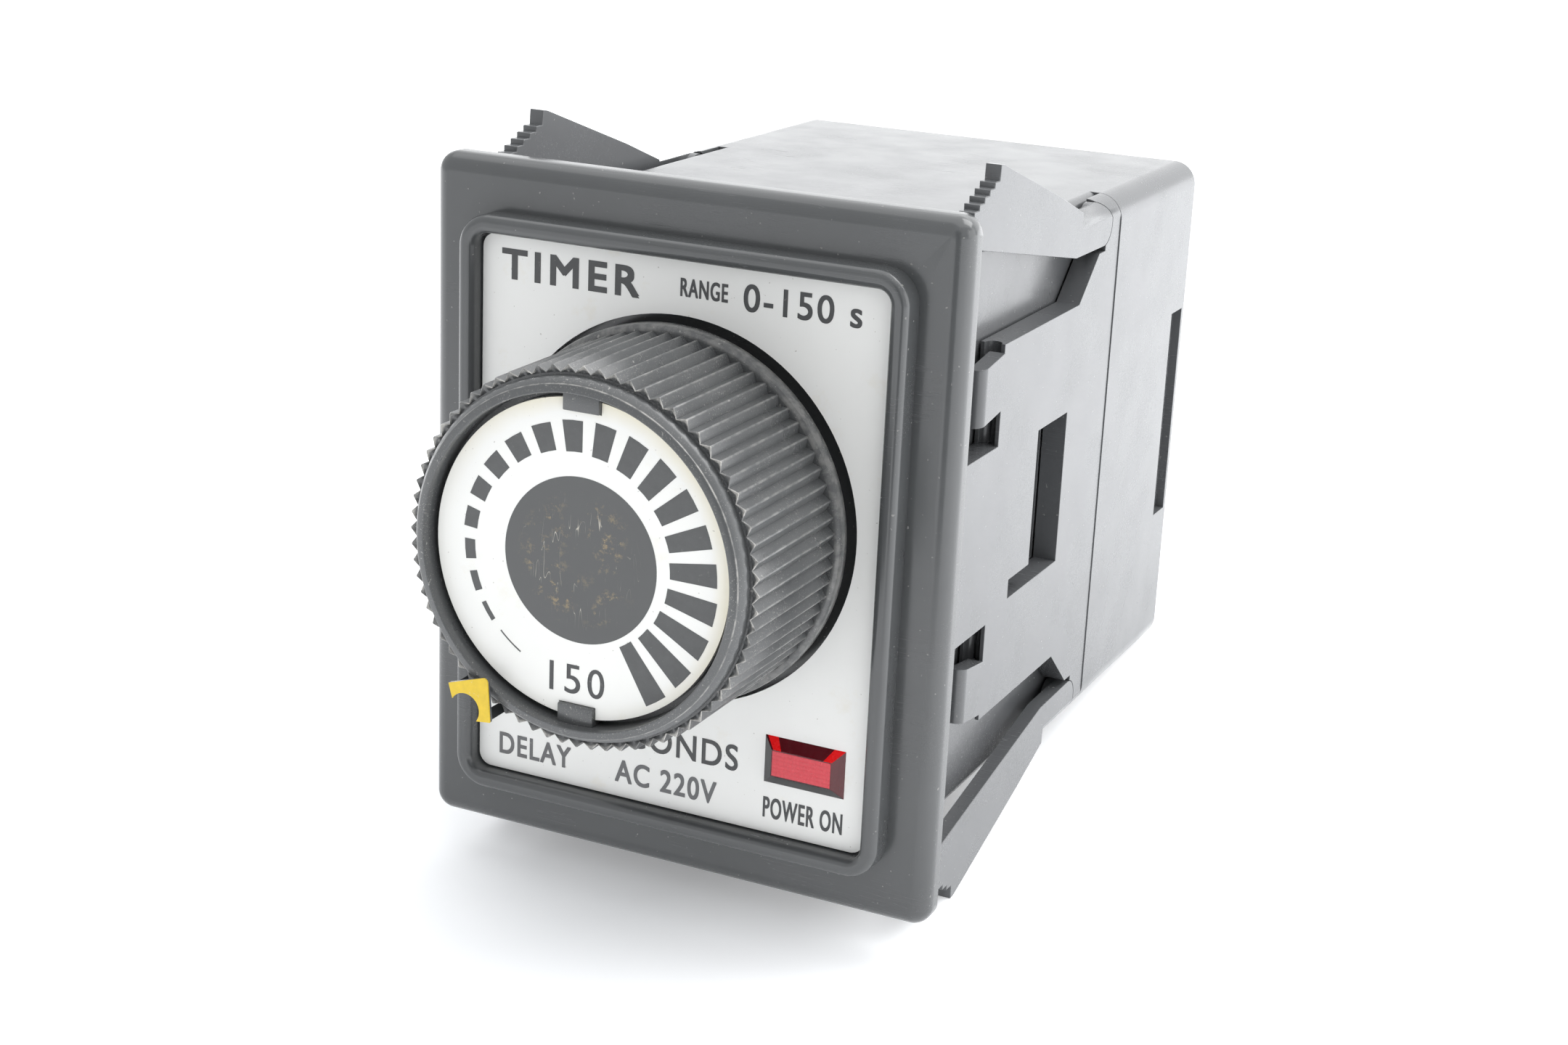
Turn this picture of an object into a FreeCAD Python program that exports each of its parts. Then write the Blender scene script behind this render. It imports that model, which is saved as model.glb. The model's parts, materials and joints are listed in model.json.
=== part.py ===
"""Panel-mounted dial timer with a plug-in base.

Depths are measured along +Y from the front of the case's wide body: the dial is at negative depth and
the plug at positive depth. X points right and Z up, seen from the front. The finished solids
are moved so that the origin lies at the centre of the plug base's rear face.
"""
import FreeCAD
import Part
import math
import os

V = FreeCAD.Vector

# Bezel and nameplate
BEZEL_W, BEZEL_H = 52.8, 65.2
BEZEL_FRONT, BEZEL_SEAT = -6.6, -3.8
BEZEL_CORNER, BEZEL_ROUND = 1.9, 1.7
COLLAR_W, COLLAR_H, COLLAR_CORNER = 44.4, 58.4, 1.5
PLATE_W, PLATE_H, PLATE_T = 40.6, 52.0, 0.4
PLATE_CORNER = 1.3
PLATE_FACE = -7.6
PLATE_GAP = 0.15
BEAD_WIDTH, BEAD_CREST, BEAD_CORNER, BEAD_ROUND = 1.7, -9.2, 3.1, 0.7
BOSS_R, BOSS_REAR = 2.0, 3.0

# Dial: the knob turns about an axis along Y at this height
DIAL_Z = 3.0
WELL_R, WELL_FLOOR = 18.05, -5.8
LIP_R, LIP_REAR, LIP_FRONT = 17.5, -8.3, -9.9
KNURL_R, KNURL_DEPTH, KNURL_TEETH, KNURL_FRONT = 16.95, 0.6, 72, -24.4
RIM_R, RIM_FRONT = 14.75, -25.7
SCALE_R, SCALE_FACE, SCALE_T = 14.15, -24.3, 0.4
TAB_W, TAB_INNER_R = 3.5, 13.0
HUB_R, HUB_REAR = 6.2, -11.5
KNOB_CAVITY_R, KNOB_WEB = 15.2, 2.0

# Pointer
POINTER_ANGLE = 236.0
POINTER_TIP_R, POINTER_TAIL_R, POINTER_NOTCH_R, POINTER_TIP_ROUND = 13.8, 17.05, 16.4, 0.4
POINTER_HALF_W, POINTER_END_R, POINTER_END_HALF_W = 2.55, 17.95, 1.48
POINTER_HEAD_T, POINTER_PRONG = 0.3, 4.8
POINTER_FACE, POINTER_PAINT_T = -26.45, 0.15
POINTER_FOOT_R, POINTER_FOOT_Y = (17.85, 19.6), (-8.0, -4.8)

# Potentiometer behind the knob
SHAFT_R, BUSHING_R, BUSHING_FLANGE_T = 3.0, 4.55, 1.2
POT_NUT_ACROSS, POT_NUT_T = 12.0, 2.1
POT_R, POT_WALL, POT_DEPTHS = 11.8, 0.6, (-2.6, 6.5)
ELEMENT_R, ELEMENT_DEPTHS = 5.0, (-0.9, 0.1)
TRACK_R, TRACK_T = (7.0, 9.6), 0.15
TERMINAL_X, TERMINAL_W, TERMINAL_T = (-4, 0, 4), 1.6, 0.35
CARRIER_R, CARRIER_DEPTHS = 6.4, (2.2, 4.2)
WIPER_ANGLE, WIPER_W, WIPER_T, WIPER_REACH = 126, 2.4, 0.4, (3.4, 8.9)

# Lamp lens
LENS_X, LENS_Z = 14.15, -18.7
LENS_W, LENS_H, LENS_RISE, LENS_BEVEL = 8.0, 4.6, 0.8, 1.0
LENS_FLANGE, LENS_FLANGE_T = 0.6, 0.8
LENS_HOLLOW_W, LENS_HOLLOW_H, LENS_HOLLOW_Y = 6.0, 2.8, (-7.0, -2.0)
BULB_X, BULB_R, BULB_DEPTHS, BULB_LEAD_Z = 12.6, 1.9, (-0.6, 6.0), 0.9
HOLDER_FRONT, HOLDER_REAR, HOLDER_HALF_H = 2.0, 12.0, 2.4

# Case
CASE_W, CASE_H, CASE_REAR = 48.0, 55.0, 67.4
NECK_W, NECK_FRONT, NECK_CORNER = 42.6, -3.0, 1.0
WALL, REAR_WALL, REAR_ROUND = 1.5, 2.0, 1.2
STEP_Y = 41.2
EDGE_ROUND = 2.5
WINDOW_Y, WINDOW_HALF, WINDOW_FLOOR_X = (21.2, 29.3), 7.7, 19.3

# Adapter plates, clips and latch fingers (outlines are depth, height)
ADAPTER_X = (21.5, 23.9)
ADAPTER_FRONT = 0.4
SLOT_Z = 18.3
CLIP_PIVOT = (36.6, 25.2)
CLIP_T, KNUCKLE_R = 1.5, 2.1
CLIP_TIP = (6.0, 35.2)
CLIP_FRONT = (-1.7, 29.0)
CLIP_FLAT = 1.4
STEP_COUNT, STEP_RUN, STEP_RISE = 6, 1.13, 0.49
FINGER_PIVOT_Y, FINGER_PIVOT_X, FINGER_KNUCKLE_R = 10.4, 22.7, 0.75
PEG_R, PEG_END_X = 1.5, NECK_W / 2 - 1.4
PEG_PLACES = [(16.0, -14.5), (16.0, 14.5), (38.6, -10.0), (38.6, 10.0)]
RUN_GAP = 0.05

# Plug
BASE_R, BASE_T, BASE_ROUND, PLUG_BOSS_R = 16.5, 8.0, 1.2, 11.4
BASE_SCREW_X, SCREW_HEAD_R, SCREW_HEAD_T = (-14, 14), 2.1, 1.4
PIN_PCD, PIN_R, PIN_ROOT_R, PIN_LENGTH, PIN_COUNT = 17.45, 1.19, 1.0, 11.5, 8
SPIGOT_R, SPIGOT_LENGTH, SPIGOT_CHAMFER = 3.9, 14.5, 0.8
KEY_HALF_W, KEY_REACH, KEY_SHORT = 1.1, 5.1, 1.5
BASE_REAR = CASE_REAR + BASE_T

# Inside
BOARD_X, BOARD_T, BOARD_HALF_H = 15.6, 1.6, 21.8
BOARD_Y = (8.0, 62.0)
ROD_X, ROD_Z, ROD_R, ROD_FRONT = 17.4, 23.7, 1.1, BEZEL_SEAT - 1.5
ROD_TAIL, ROD_NUT_ACROSS, ROD_NUT_T = 2.6, 4.4, 2.0
SPACER_PLACES = [(14.0, -19.0), (14.0, 19.0), (58.0, -19.0), (58.0, 19.0)]
SPACER_R, SCREW_R = 1.8, 1.2
SPACER_SCREW_LENGTH, SPACER_HEAD_R, SPACER_HEAD_T = 5.0, 2.4, 1.2

# Transformer: a core with two windows round its middle leg
CORE_X, CORE_Y, CORE_Z = (-8, 8), (15, 33), (-16, -1)
LEG_Y, WINDOW_Z, LIMB = (21.5, 26.5), (-13, -4), 3.0
BOBBIN_X, BOBBIN_WALL, CHEEK_T = 9.0, 0.8, 0.8

# Relay: a coil standing on a yoke, and an armature that rocks over its core
RELAY_Y, YOKE_Y, YOKE_FOOT_Z = 45.0, (53.0, 54.6), (-20.6, -19.0)
CORE_R, CORE_HEAD_R, CORE_TENON_R, CORE_TOP = 2.9, 4.2, 1.95, 3.9
COIL_R, COIL_INNER_R, BOBBIN_FLANGE_R = 7.2, 4.0, 7.7
COIL_HEIGHTS, BOBBIN_HEIGHTS = (-17.7, 2.6), (-18.9, 3.8)
ARMATURE_PIVOT, ARMATURE_PIN_R = (53.8, 6.4), 0.75
CONTACT_Y, CONTACT_R, BLADE_HALF_W = 28.0, 1.3, 2.0


# ---------- helpers ----------

def box(x, y, z):
    """A box from three (low, high) pairs."""
    size = [pair[1] - pair[0] for pair in (x, y, z)]
    return Part.makeBox(size[0], size[1], size[2], V(x[0], y[0], z[0]))


def rod(radius, y, x=0.0, z=0.0):
    """A cylinder along Y."""
    return Part.makeCylinder(radius, y[1] - y[0], V(x, y[0], z), V(0, 1, 0))


def rod_x(radius, x, y, z):
    return Part.makeCylinder(radius, x[1] - x[0], V(x[0], y, z), V(1, 0, 0))


def rod_z(radius, z, x, y):
    return Part.makeCylinder(radius, z[1] - z[0], V(x, y, z[0]), V(0, 0, 1))


def tube(outer, inner, y, x=0.0, z=0.0):
    return rod(outer, y, x, z).cut(rod(inner, y, x, z))


def polygon(points):
    return Part.Face(Part.makePolygon(points + [points[0]]))


def prism_x(outline, x):
    """An outline of (depth, height) points, extruded along X."""
    return polygon([V(x[0], y, z) for y, z in outline]).extrude(V(x[1] - x[0], 0, 0))


def prism_y(outline, y):
    """An outline of (x, height) points, extruded along Y."""
    return polygon([V(px, y[0], z) for px, z in outline]).extrude(V(0, y[1] - y[0], 0))


def round_edges(shape, radius, chosen):
    edges = [edge for edge in shape.Edges if chosen(edge)]
    return shape.makeFillet(radius, edges)


def along_y(edge):
    span = edge.BoundBox
    return span.YLength > 0.05 and span.XLength < 1e-4 and span.ZLength < 1e-4


def at_depth(y):
    """Chooses the edges that lie in the plane of one depth."""
    def chosen(edge):
        span = edge.BoundBox
        return abs(span.YMin - y) < 1e-4 and abs(span.YMax - y) < 1e-4
    return chosen


def rounded_block(width, height, y, corner, z=0.0, x=0.0):
    """A block along Y whose four long edges are rounded."""
    block = box((x - width / 2, x + width / 2), y, (z - height / 2, z + height / 2))
    return round_edges(block, corner, along_y)


def fuse(shapes):
    whole = shapes[0].multiFuse(shapes[1:]) if len(shapes) > 1 else shapes[0]
    return whole.removeSplitter()


def cut(shape, tools):
    return shape.cut(Part.makeCompound(tools)) if tools else shape


def group(shapes):
    """Separate solids that share one node."""
    return Part.makeCompound(shapes)


def flip_x(shape):
    return shape.mirror(V(0, 0, 0), V(1, 0, 0))


def flip_z(shape):
    return shape.mirror(V(0, 0, 0), V(0, 0, 1))


def turned(shape, angle):
    """The shape turned about the dial's axis, anticlockwise seen from the front."""
    moved = shape.copy()
    moved.rotate(V(0, 0, DIAL_Z), V(0, -1, 0), angle)
    return moved


def wire(points, radius):
    """A thin round wire through points."""
    spheres = [Part.makeSphere(radius, V(*point)) for point in points[1:-1]]
    runs = []
    for start, end in zip(points, points[1:]):
        direction = V(*end) - V(*start)
        runs.append(Part.makeCylinder(radius, direction.Length, V(*start), direction))
    return fuse(runs + spheres)


def spread(shape):
    """The four copies of a shape, mirrored left to right and top to bottom."""
    return [shape, flip_x(shape), flip_z(shape), flip_x(flip_z(shape))]


# ---------- front ----------

def bezel():
    flange = rounded_block(BEZEL_W, BEZEL_H, (BEZEL_FRONT, BEZEL_SEAT), BEZEL_CORNER)
    flange = round_edges(flange, BEZEL_ROUND, at_depth(BEZEL_FRONT))
    collar = rounded_block(COLLAR_W, COLLAR_H, (BEZEL_SEAT, 0), COLLAR_CORNER)
    pocket_w, pocket_h = PLATE_W + 2 * PLATE_GAP, PLATE_H + 2 * PLATE_GAP
    bead = rounded_block(pocket_w + 2 * BEAD_WIDTH, pocket_h + 2 * BEAD_WIDTH,
                         (BEAD_CREST, BEZEL_FRONT + 1), BEAD_CORNER)
    pocket = rounded_block(pocket_w, pocket_h, (BEAD_CREST - 1, PLATE_FACE + PLATE_T), PLATE_CORNER)
    body = fuse([flange, bead]).cut(pocket)
    body = fuse([round_edges(body, BEAD_ROUND, at_depth(BEAD_CREST)), collar])
    boss = rod(BOSS_R, (BEZEL_SEAT, BOSS_REAR), ROD_X, ROD_Z)
    tools = [
        rounded_block(NECK_W + 2 * RUN_GAP, CASE_H + 2 * RUN_GAP, (BEZEL_SEAT, 1), NECK_CORNER - 0.1),
        rod(WELL_R, (PLATE_FACE, WELL_FLOOR), 0, DIAL_Z),
        rod(BUSHING_R + RUN_GAP, (PLATE_FACE, 0), 0, DIAL_Z),
        box((LENS_X - LENS_W / 2, LENS_X + LENS_W / 2), (PLATE_FACE, 0),
            (LENS_Z - LENS_H / 2, LENS_Z + LENS_H / 2)),
        pointer_foot(),
    ]
    body = fuse([cut(body, tools)] + spread(boss))
    return cut(body, spread(rod(ROD_R, (ROD_FRONT, BOSS_REAR + 1), ROD_X, ROD_Z)))


def nameplate():
    depths = (PLATE_FACE, PLATE_FACE + PLATE_T)
    plate = rounded_block(PLATE_W, PLATE_H, depths, PLATE_CORNER)
    tools = [
        rod(WELL_R, depths, 0, DIAL_Z),
        box((LENS_X - LENS_W / 2, LENS_X + LENS_W / 2), depths, (LENS_Z - LENS_H / 2, LENS_Z + LENS_H / 2)),
        pointer_foot(),
    ]
    return cut(plate, tools)


def radial_prism(outline, y):
    """Extrudes (radius, sideways) points along Y, then turns them to the pointer's angle."""
    shape = prism_y([(radius, DIAL_Z + side) for radius, side in outline], y)
    return turned(shape, POINTER_ANGLE)


def pointer_foot():
    half = POINTER_HALF_W
    inner, outer = POINTER_FOOT_R
    return radial_prism([(inner, -half), (outer, -half), (outer, half), (inner, half)], POINTER_FOOT_Y)


def arrowhead(y):
    """The arrowhead: a rounded tip, two blunt arms and a hollow back."""
    def at(radius, side):
        return V(radius, y[0], DIAL_Z + side)

    half = POINTER_HALF_W
    tip, left, right = at(POINTER_TIP_R, 0), at(POINTER_TAIL_R, half), at(POINTER_TAIL_R, -half)
    left_end, right_end = at(POINTER_END_R, POINTER_END_HALF_W), at(POINTER_END_R, -POINTER_END_HALF_W)
    sides = [(right_end, right), (right, tip), (tip, left), (left, left_end)]
    edges = [Part.LineSegment(start, end).toShape() for start, end in sides]
    edges.append(Part.Arc(left_end, at(POINTER_NOTCH_R, 0), right_end).toShape())
    head = Part.Face(Part.Wire(edges)).extrude(V(0, y[1] - y[0], 0))
    head = round_edges(head, POINTER_TIP_ROUND,
                       lambda edge: along_y(edge) and edge.BoundBox.XMax < POINTER_TIP_R + 0.01)
    return turned(head, POINTER_ANGLE)


def pointer():
    """A post that stands on the bezel outside the knob and forks to carry the arrowhead over the rim."""
    inner, outer = POINTER_FOOT_R
    foot, face = POINTER_FOOT_Y[1], POINTER_FACE + POINTER_PAINT_T
    prong_r, crotch = POINTER_END_R - 0.75, face + POINTER_PRONG
    profile = [(inner, foot), (outer, foot), (outer, -9.0), (POINTER_END_R, crotch), (prong_r, crotch),
               (prong_r, -12.0), (inner, -9.6)]
    half = POINTER_HALF_W
    side = Part.Face(Part.makePolygon([V(r, y, DIAL_Z - half) for r, y in profile + [profile[0]]]))
    post = turned(side.extrude(V(0, 0, 2 * half)), POINTER_ANGLE)
    forks = radial_prism([(prong_r, -half), (20, -half), (20, half), (prong_r, half)], (face, crotch))
    forks = forks.common(arrowhead((face, crotch)))
    return fuse([arrowhead((face, face + POINTER_HEAD_T)), forks, post])


def pointer_face():
    """The arrowhead's coat of paint."""
    return arrowhead((POINTER_FACE, POINTER_FACE + POINTER_PAINT_T))


def rectangle_wire(width, height, y):
    x0, x1 = LENS_X - width / 2, LENS_X + width / 2
    z0, z1 = LENS_Z - height / 2, LENS_Z + height / 2
    corners = [V(x0, y, z0), V(x1, y, z0), V(x1, y, z1), V(x0, y, z1)]
    return Part.makePolygon(corners + [corners[0]])


def lens():
    base = rectangle_wire(LENS_W, LENS_H, PLATE_FACE)
    front = rectangle_wire(LENS_W - 2 * LENS_BEVEL, LENS_H - 2 * LENS_BEVEL, PLATE_FACE - LENS_RISE)
    head = Part.makeLoft([base, front], True, True)
    half_w, half_h = LENS_W / 2, LENS_H / 2
    body = box((LENS_X - half_w, LENS_X + half_w), (PLATE_FACE, BEZEL_SEAT),
               (LENS_Z - half_h, LENS_Z + half_h))
    flange_w, flange_h = half_w + LENS_FLANGE, half_h + LENS_FLANGE
    flange = box((LENS_X - flange_w, LENS_X + flange_w), (BEZEL_SEAT, BEZEL_SEAT + LENS_FLANGE_T),
                 (LENS_Z - flange_h, LENS_Z + flange_h))
    hollow = box((LENS_X - LENS_HOLLOW_W / 2, LENS_X + LENS_HOLLOW_W / 2), LENS_HOLLOW_Y,
                 (LENS_Z - LENS_HOLLOW_H / 2, LENS_Z + LENS_HOLLOW_H / 2))
    return fuse([head, body, flange]).cut(hollow)


def lamp_bulb():
    front, rear = BULB_DEPTHS
    bulb = rod(BULB_R, BULB_DEPTHS, BULB_X, LENS_Z)
    nose = Part.makeSphere(BULB_R, V(BULB_X, front, LENS_Z))
    bend = rear + 4.5
    leads = [wire([(BULB_X, rear, z), (BULB_X, bend, z), (BOARD_X, bend, z)], 0.3)
             for z in (LENS_Z - BULB_LEAD_Z, LENS_Z + BULB_LEAD_Z)]
    return fuse([bulb, nose] + leads)


def lamp_holder():
    block = box((BULB_X - HOLDER_HALF_H, BOARD_X), (HOLDER_FRONT, HOLDER_REAR),
                (LENS_Z - HOLDER_HALF_H, LENS_Z + HOLDER_HALF_H))
    rear = BULB_DEPTHS[1]
    hole = rod(BULB_R, (HOLDER_FRONT - 1, rear), BULB_X, LENS_Z)
    slots = [box((BULB_X - 0.4, BOARD_X + 1), (rear, HOLDER_REAR + 1), (z - 0.35, z + 0.35))
             for z in (LENS_Z - BULB_LEAD_Z, LENS_Z + BULB_LEAD_Z)]
    return cut(block, [hole] + slots)


# ---------- knob and potentiometer ----------

def knurl_outline():
    points = []
    for tooth in range(KNURL_TEETH):
        for part, radius in ((0.0, KNURL_R), (0.5, KNURL_R - KNURL_DEPTH)):
            angle = 2 * math.pi * (tooth + part) / KNURL_TEETH
            points.append((radius * math.cos(angle), DIAL_Z + radius * math.sin(angle)))
    return points


def turned_profile(profile):
    """Turns (radius, depth) points about the dial's axis."""
    face = polygon([V(radius, y, DIAL_Z) for radius, y in profile])
    return face.revolve(V(0, 0, DIAL_Z), V(0, 1, 0), 360)


def knob():
    grip = prism_y(knurl_outline(), (KNURL_FRONT, LIP_FRONT))
    lip = turned_profile([(0, LIP_FRONT), (LIP_R - 0.35, LIP_FRONT), (LIP_R, LIP_FRONT + 0.35),
                          (LIP_R, LIP_REAR - 0.2), (LIP_R - 0.2, LIP_REAR), (0, LIP_REAR)])
    rim = turned_profile([(0, KNURL_FRONT), (16.1, KNURL_FRONT), (15.95, -24.95), (15.55, -25.2),
                          (15.5, -25.35), (RIM_R, RIM_FRONT), (0, RIM_FRONT)])
    floor = SCALE_FACE + SCALE_T
    recess = rod(RIM_R, (RIM_FRONT - 1, floor), 0, DIAL_Z)
    moat = tube(RIM_R, SCALE_R + 0.05, (floor, floor + 0.9), 0, DIAL_Z)
    cavity_front = floor + KNOB_WEB
    cavity = tube(KNOB_CAVITY_R, HUB_R, (cavity_front, 0), 0, DIAL_Z)
    behind_hub = rod(KNOB_CAVITY_R, (HUB_REAR, 0), 0, DIAL_Z)
    bore = rod(SHAFT_R, (cavity_front + 0.5, 0), 0, DIAL_Z)
    body = cut(fuse([grip, lip, rim]), [recess, moat, cavity, behind_hub, bore])
    tab = box((-TAB_W / 2, TAB_W / 2), (SCALE_FACE - 0.4, floor + 0.9),
              (DIAL_Z + TAB_INNER_R, DIAL_Z + RIM_R + 0.3))
    return fuse([body, tab, turned(tab, 180)])


def scale_plate():
    disc = rod(SCALE_R, (SCALE_FACE, SCALE_FACE + SCALE_T), 0, DIAL_Z)
    notch = box((-TAB_W / 2 - 0.05, TAB_W / 2 + 0.05), (SCALE_FACE - 1, 0),
                (DIAL_Z + TAB_INNER_R - 0.05, DIAL_Z + RIM_R))
    return cut(disc, [notch, turned(notch, 180)])


def hub_clip():
    ring = tube(HUB_R + 0.7, HUB_R, (-14.5, -13.0), 0, DIAL_Z)
    return ring.cut(box((-0.8, 0.8), (-15, -12), (DIAL_Z, DIAL_Z + 10)))


def pot_shaft():
    front = SCALE_FACE + SCALE_T + KNOB_WEB + 0.5
    shaft = rod(SHAFT_R, (front, 4.2), 0, DIAL_Z)
    return shaft.cut(box((-0.5, 0.5), (front - 1, front + 1.2), (DIAL_Z - 4, DIAL_Z + 4)))


def pot_bushing():
    flange = rod(POT_R, (BEZEL_SEAT, BEZEL_SEAT + BUSHING_FLANGE_T), 0, DIAL_Z)
    barrel = rod(BUSHING_R, (-9.6, BEZEL_SEAT), 0, DIAL_Z)
    return fuse([flange, barrel]).cut(rod(SHAFT_R + RUN_GAP, (-10, 0), 0, DIAL_Z))


def hexagon(across, y, x, z):
    radius = across / math.sqrt(3)
    turns = [math.radians(60 * k) for k in range(6)]
    return prism_y([(x + radius * math.cos(turn), z + radius * math.sin(turn)) for turn in turns], y)


def pot_nut():
    nut = hexagon(POT_NUT_ACROSS, (WELL_FLOOR - POT_NUT_T, WELL_FLOOR), 0, DIAL_Z)
    return nut.cut(rod(BUSHING_R, (-10, 0), 0, DIAL_Z))


def pot_can():
    front, rear = POT_DEPTHS
    can = rod(POT_R, POT_DEPTHS, 0, DIAL_Z).cut(rod(POT_R - POT_WALL, (front, rear - POT_WALL), 0, DIAL_Z))
    return can.cut(box((-6, 6), (-1.3, 0.6), (DIAL_Z - 14, DIAL_Z - 9)))


def pot_element_disc():
    return tube(POT_R - POT_WALL, ELEMENT_R, ELEMENT_DEPTHS, 0, DIAL_Z)


def pot_track():
    face = ELEMENT_DEPTHS[1]
    ring = tube(TRACK_R[1], TRACK_R[0], (face, face + TRACK_T), 0, DIAL_Z)
    return ring.cut(box((-1.5, 1.5), (0, 1), (DIAL_Z - 12, DIAL_Z)))


def pot_terminals():
    half, face = TERMINAL_W / 2, ELEMENT_DEPTHS[1]
    return group([box((x - half, x + half), (face, face + TERMINAL_T), (DIAL_Z - 15.5, DIAL_Z - 9.9))
                  for x in TERMINAL_X])


def wiper_carrier():
    return tube(CARRIER_R, SHAFT_R, CARRIER_DEPTHS, 0, DIAL_Z)


def wiper():
    """A sprung leaf from the carrier to the track, at the start of the track at rest."""
    rear = CARRIER_DEPTHS[0]
    front = rear - WIPER_T
    leaf = box((-WIPER_W / 2, WIPER_W / 2), (front, rear), (DIAL_Z + WIPER_REACH[0], DIAL_Z + WIPER_REACH[1]))
    contact = rod(0.6, (0.32, front), 0, DIAL_Z + sum(TRACK_R) / 2)
    return turned(fuse([leaf, contact]), WIPER_ANGLE)


def hookup_wires():
    wires = []
    z = DIAL_Z - 15.0
    for x, bend in zip(TERMINAL_X, (9.5, 10.25, 11.0)):
        wires.append(wire([(x, ELEMENT_DEPTHS[1] + TERMINAL_T, z), (x, bend, z), (-BOARD_X, bend, z)], 0.4))
    return group(wires)


# ---------- case and plug ----------

def envelope():
    """The outer rounded shape that the case and the adapter plates share."""
    return rounded_block(CASE_W, CASE_H, (-5, CASE_REAR), EDGE_ROUND)


def case():
    neck = rounded_block(NECK_W, CASE_H, (NECK_FRONT, STEP_Y + 1), NECK_CORNER)
    rear = envelope().common(box((-30, 30), (STEP_Y, CASE_REAR), (-30, 30)))
    rear = round_edges(rear, REAR_ROUND, at_depth(CASE_REAR))
    inner_w, inner_h = NECK_W - 2 * WALL, CASE_H - 2 * WALL
    inner_rear = CASE_REAR - REAR_WALL
    hollow = rounded_block(inner_w, inner_h, (NECK_FRONT - 1, inner_rear), 0.8)
    side_room = rounded_block(CASE_W - 2 * WALL, inner_h, (STEP_Y + WALL, inner_rear), 1.2)
    window = box((WINDOW_FLOOR_X, 30), WINDOW_Y, (-WINDOW_HALF, WINDOW_HALF))
    window_pad = box((WINDOW_FLOOR_X - 1, NECK_W / 2 - 1), (WINDOW_Y[0] - 1, WINDOW_Y[1] + 1),
                     (-WINDOW_HALF - 1, WINDOW_HALF + 1))
    catch = box((NECK_W / 2 - 2, NECK_W / 2 + 1), (2.0, 9.8), (9.0, 12.0))
    grip = box((CASE_W / 2 - 0.9, 30), (62.0, 65.6), (-11.5, 11.5))
    pegs = [rod_x(PEG_R, (PEG_END_X, NECK_W / 2 + 1), y, z) for y, z in PEG_PLACES]
    shell = fuse([cut(fuse([neck, rear]), [hollow, side_room]), window_pad, flip_x(window_pad)])
    tools = [window, flip_x(window), grip, flip_x(grip), rod(PLUG_BOSS_R + 0.1, (60, 70))]
    tools += spread(catch) + pegs + [flip_x(peg) for peg in pegs]
    tools += spread(rod(ROD_R, (60, 70), ROD_X, ROD_Z))
    tools += [rod(SCREW_R, (60, 70), x, 0) for x in BASE_SCREW_X]
    return cut(shell, tools)


def plug_base():
    disc = round_edges(rod(BASE_R, (CASE_REAR, BASE_REAR)), BASE_ROUND, at_depth(BASE_REAR))
    boss = rod(PLUG_BOSS_R, (CASE_REAR - REAR_WALL, CASE_REAR))
    tip = BASE_REAR + SPIGOT_LENGTH
    spigot = rod(SPIGOT_R, (BASE_REAR, tip))
    spigot = spigot.makeChamfer(SPIGOT_CHAMFER, [edge for edge in spigot.Edges if at_depth(tip)(edge)])
    key = box((-KEY_HALF_W, KEY_HALF_W), (BASE_REAR, tip - KEY_SHORT), (-KEY_REACH, 0))
    tools = [rod(PIN_ROOT_R, (60, BASE_REAR), x, z) for x, z in pin_places()]
    for x in BASE_SCREW_X:
        tools.append(rod(SCREW_R, (60, BASE_REAR + 1), x, 0))
        tools.append(rod(SCREW_HEAD_R, (BASE_REAR - SCREW_HEAD_T, BASE_REAR + 1), x, 0))
    return cut(fuse([disc, boss, spigot, key]), tools)


def pin_places():
    places = []
    for index in range(PIN_COUNT):
        angle = math.radians(-90 + 22.5 + 45 * index)
        places.append((PIN_PCD / 2 * math.cos(angle), PIN_PCD / 2 * math.sin(angle)))
    return places


def plug_pins():
    pins = []
    for x, z in pin_places():
        tip = BASE_REAR + PIN_LENGTH - PIN_R
        root = rod(PIN_ROOT_R, (63.0, BASE_REAR), x, z)
        pins.append(fuse([root, rod(PIN_R, (BASE_REAR, tip), x, z), Part.makeSphere(PIN_R, V(x, tip, z))]))
    return group(pins)


def screw(y_head, y_tip, x, z, head_r, head_t, shank_r):
    """A slotted screw along Y whose head is at the larger depth."""
    head = rod(head_r, (y_head - head_t, y_head), x, z)
    slot = box((x - head_r - 1, x + head_r + 1), (y_head - 0.6, y_head + 1), (z - 0.3, z + 0.3))
    return fuse([head, rod(shank_r, (y_tip, y_head - head_t), x, z)]).cut(slot)


def base_screws():
    return group([screw(BASE_REAR, CASE_REAR - REAR_WALL, x, 0, SCREW_HEAD_R, SCREW_HEAD_T, SCREW_R)
                  for x in BASE_SCREW_X])


def tie_rods():
    return group(spread(rod(ROD_R, (ROD_FRONT, CASE_REAR + ROD_TAIL), ROD_X, ROD_Z)))


def tie_nuts():
    nut = hexagon(ROD_NUT_ACROSS, (CASE_REAR, CASE_REAR + ROD_NUT_T), ROD_X, ROD_Z)
    nut = nut.cut(rod(ROD_R, (60, 75), ROD_X, ROD_Z))
    return group(spread(nut))


def plug_leads():
    leads = []
    for x, z in pin_places():
        side = math.copysign(BOARD_X, x)
        leads.append(wire([(x, 63.0, z), (x, 60.5, z), (side, 60.5, z)], 0.4))
    return group(leads)


# ---------- adapter ----------

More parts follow.
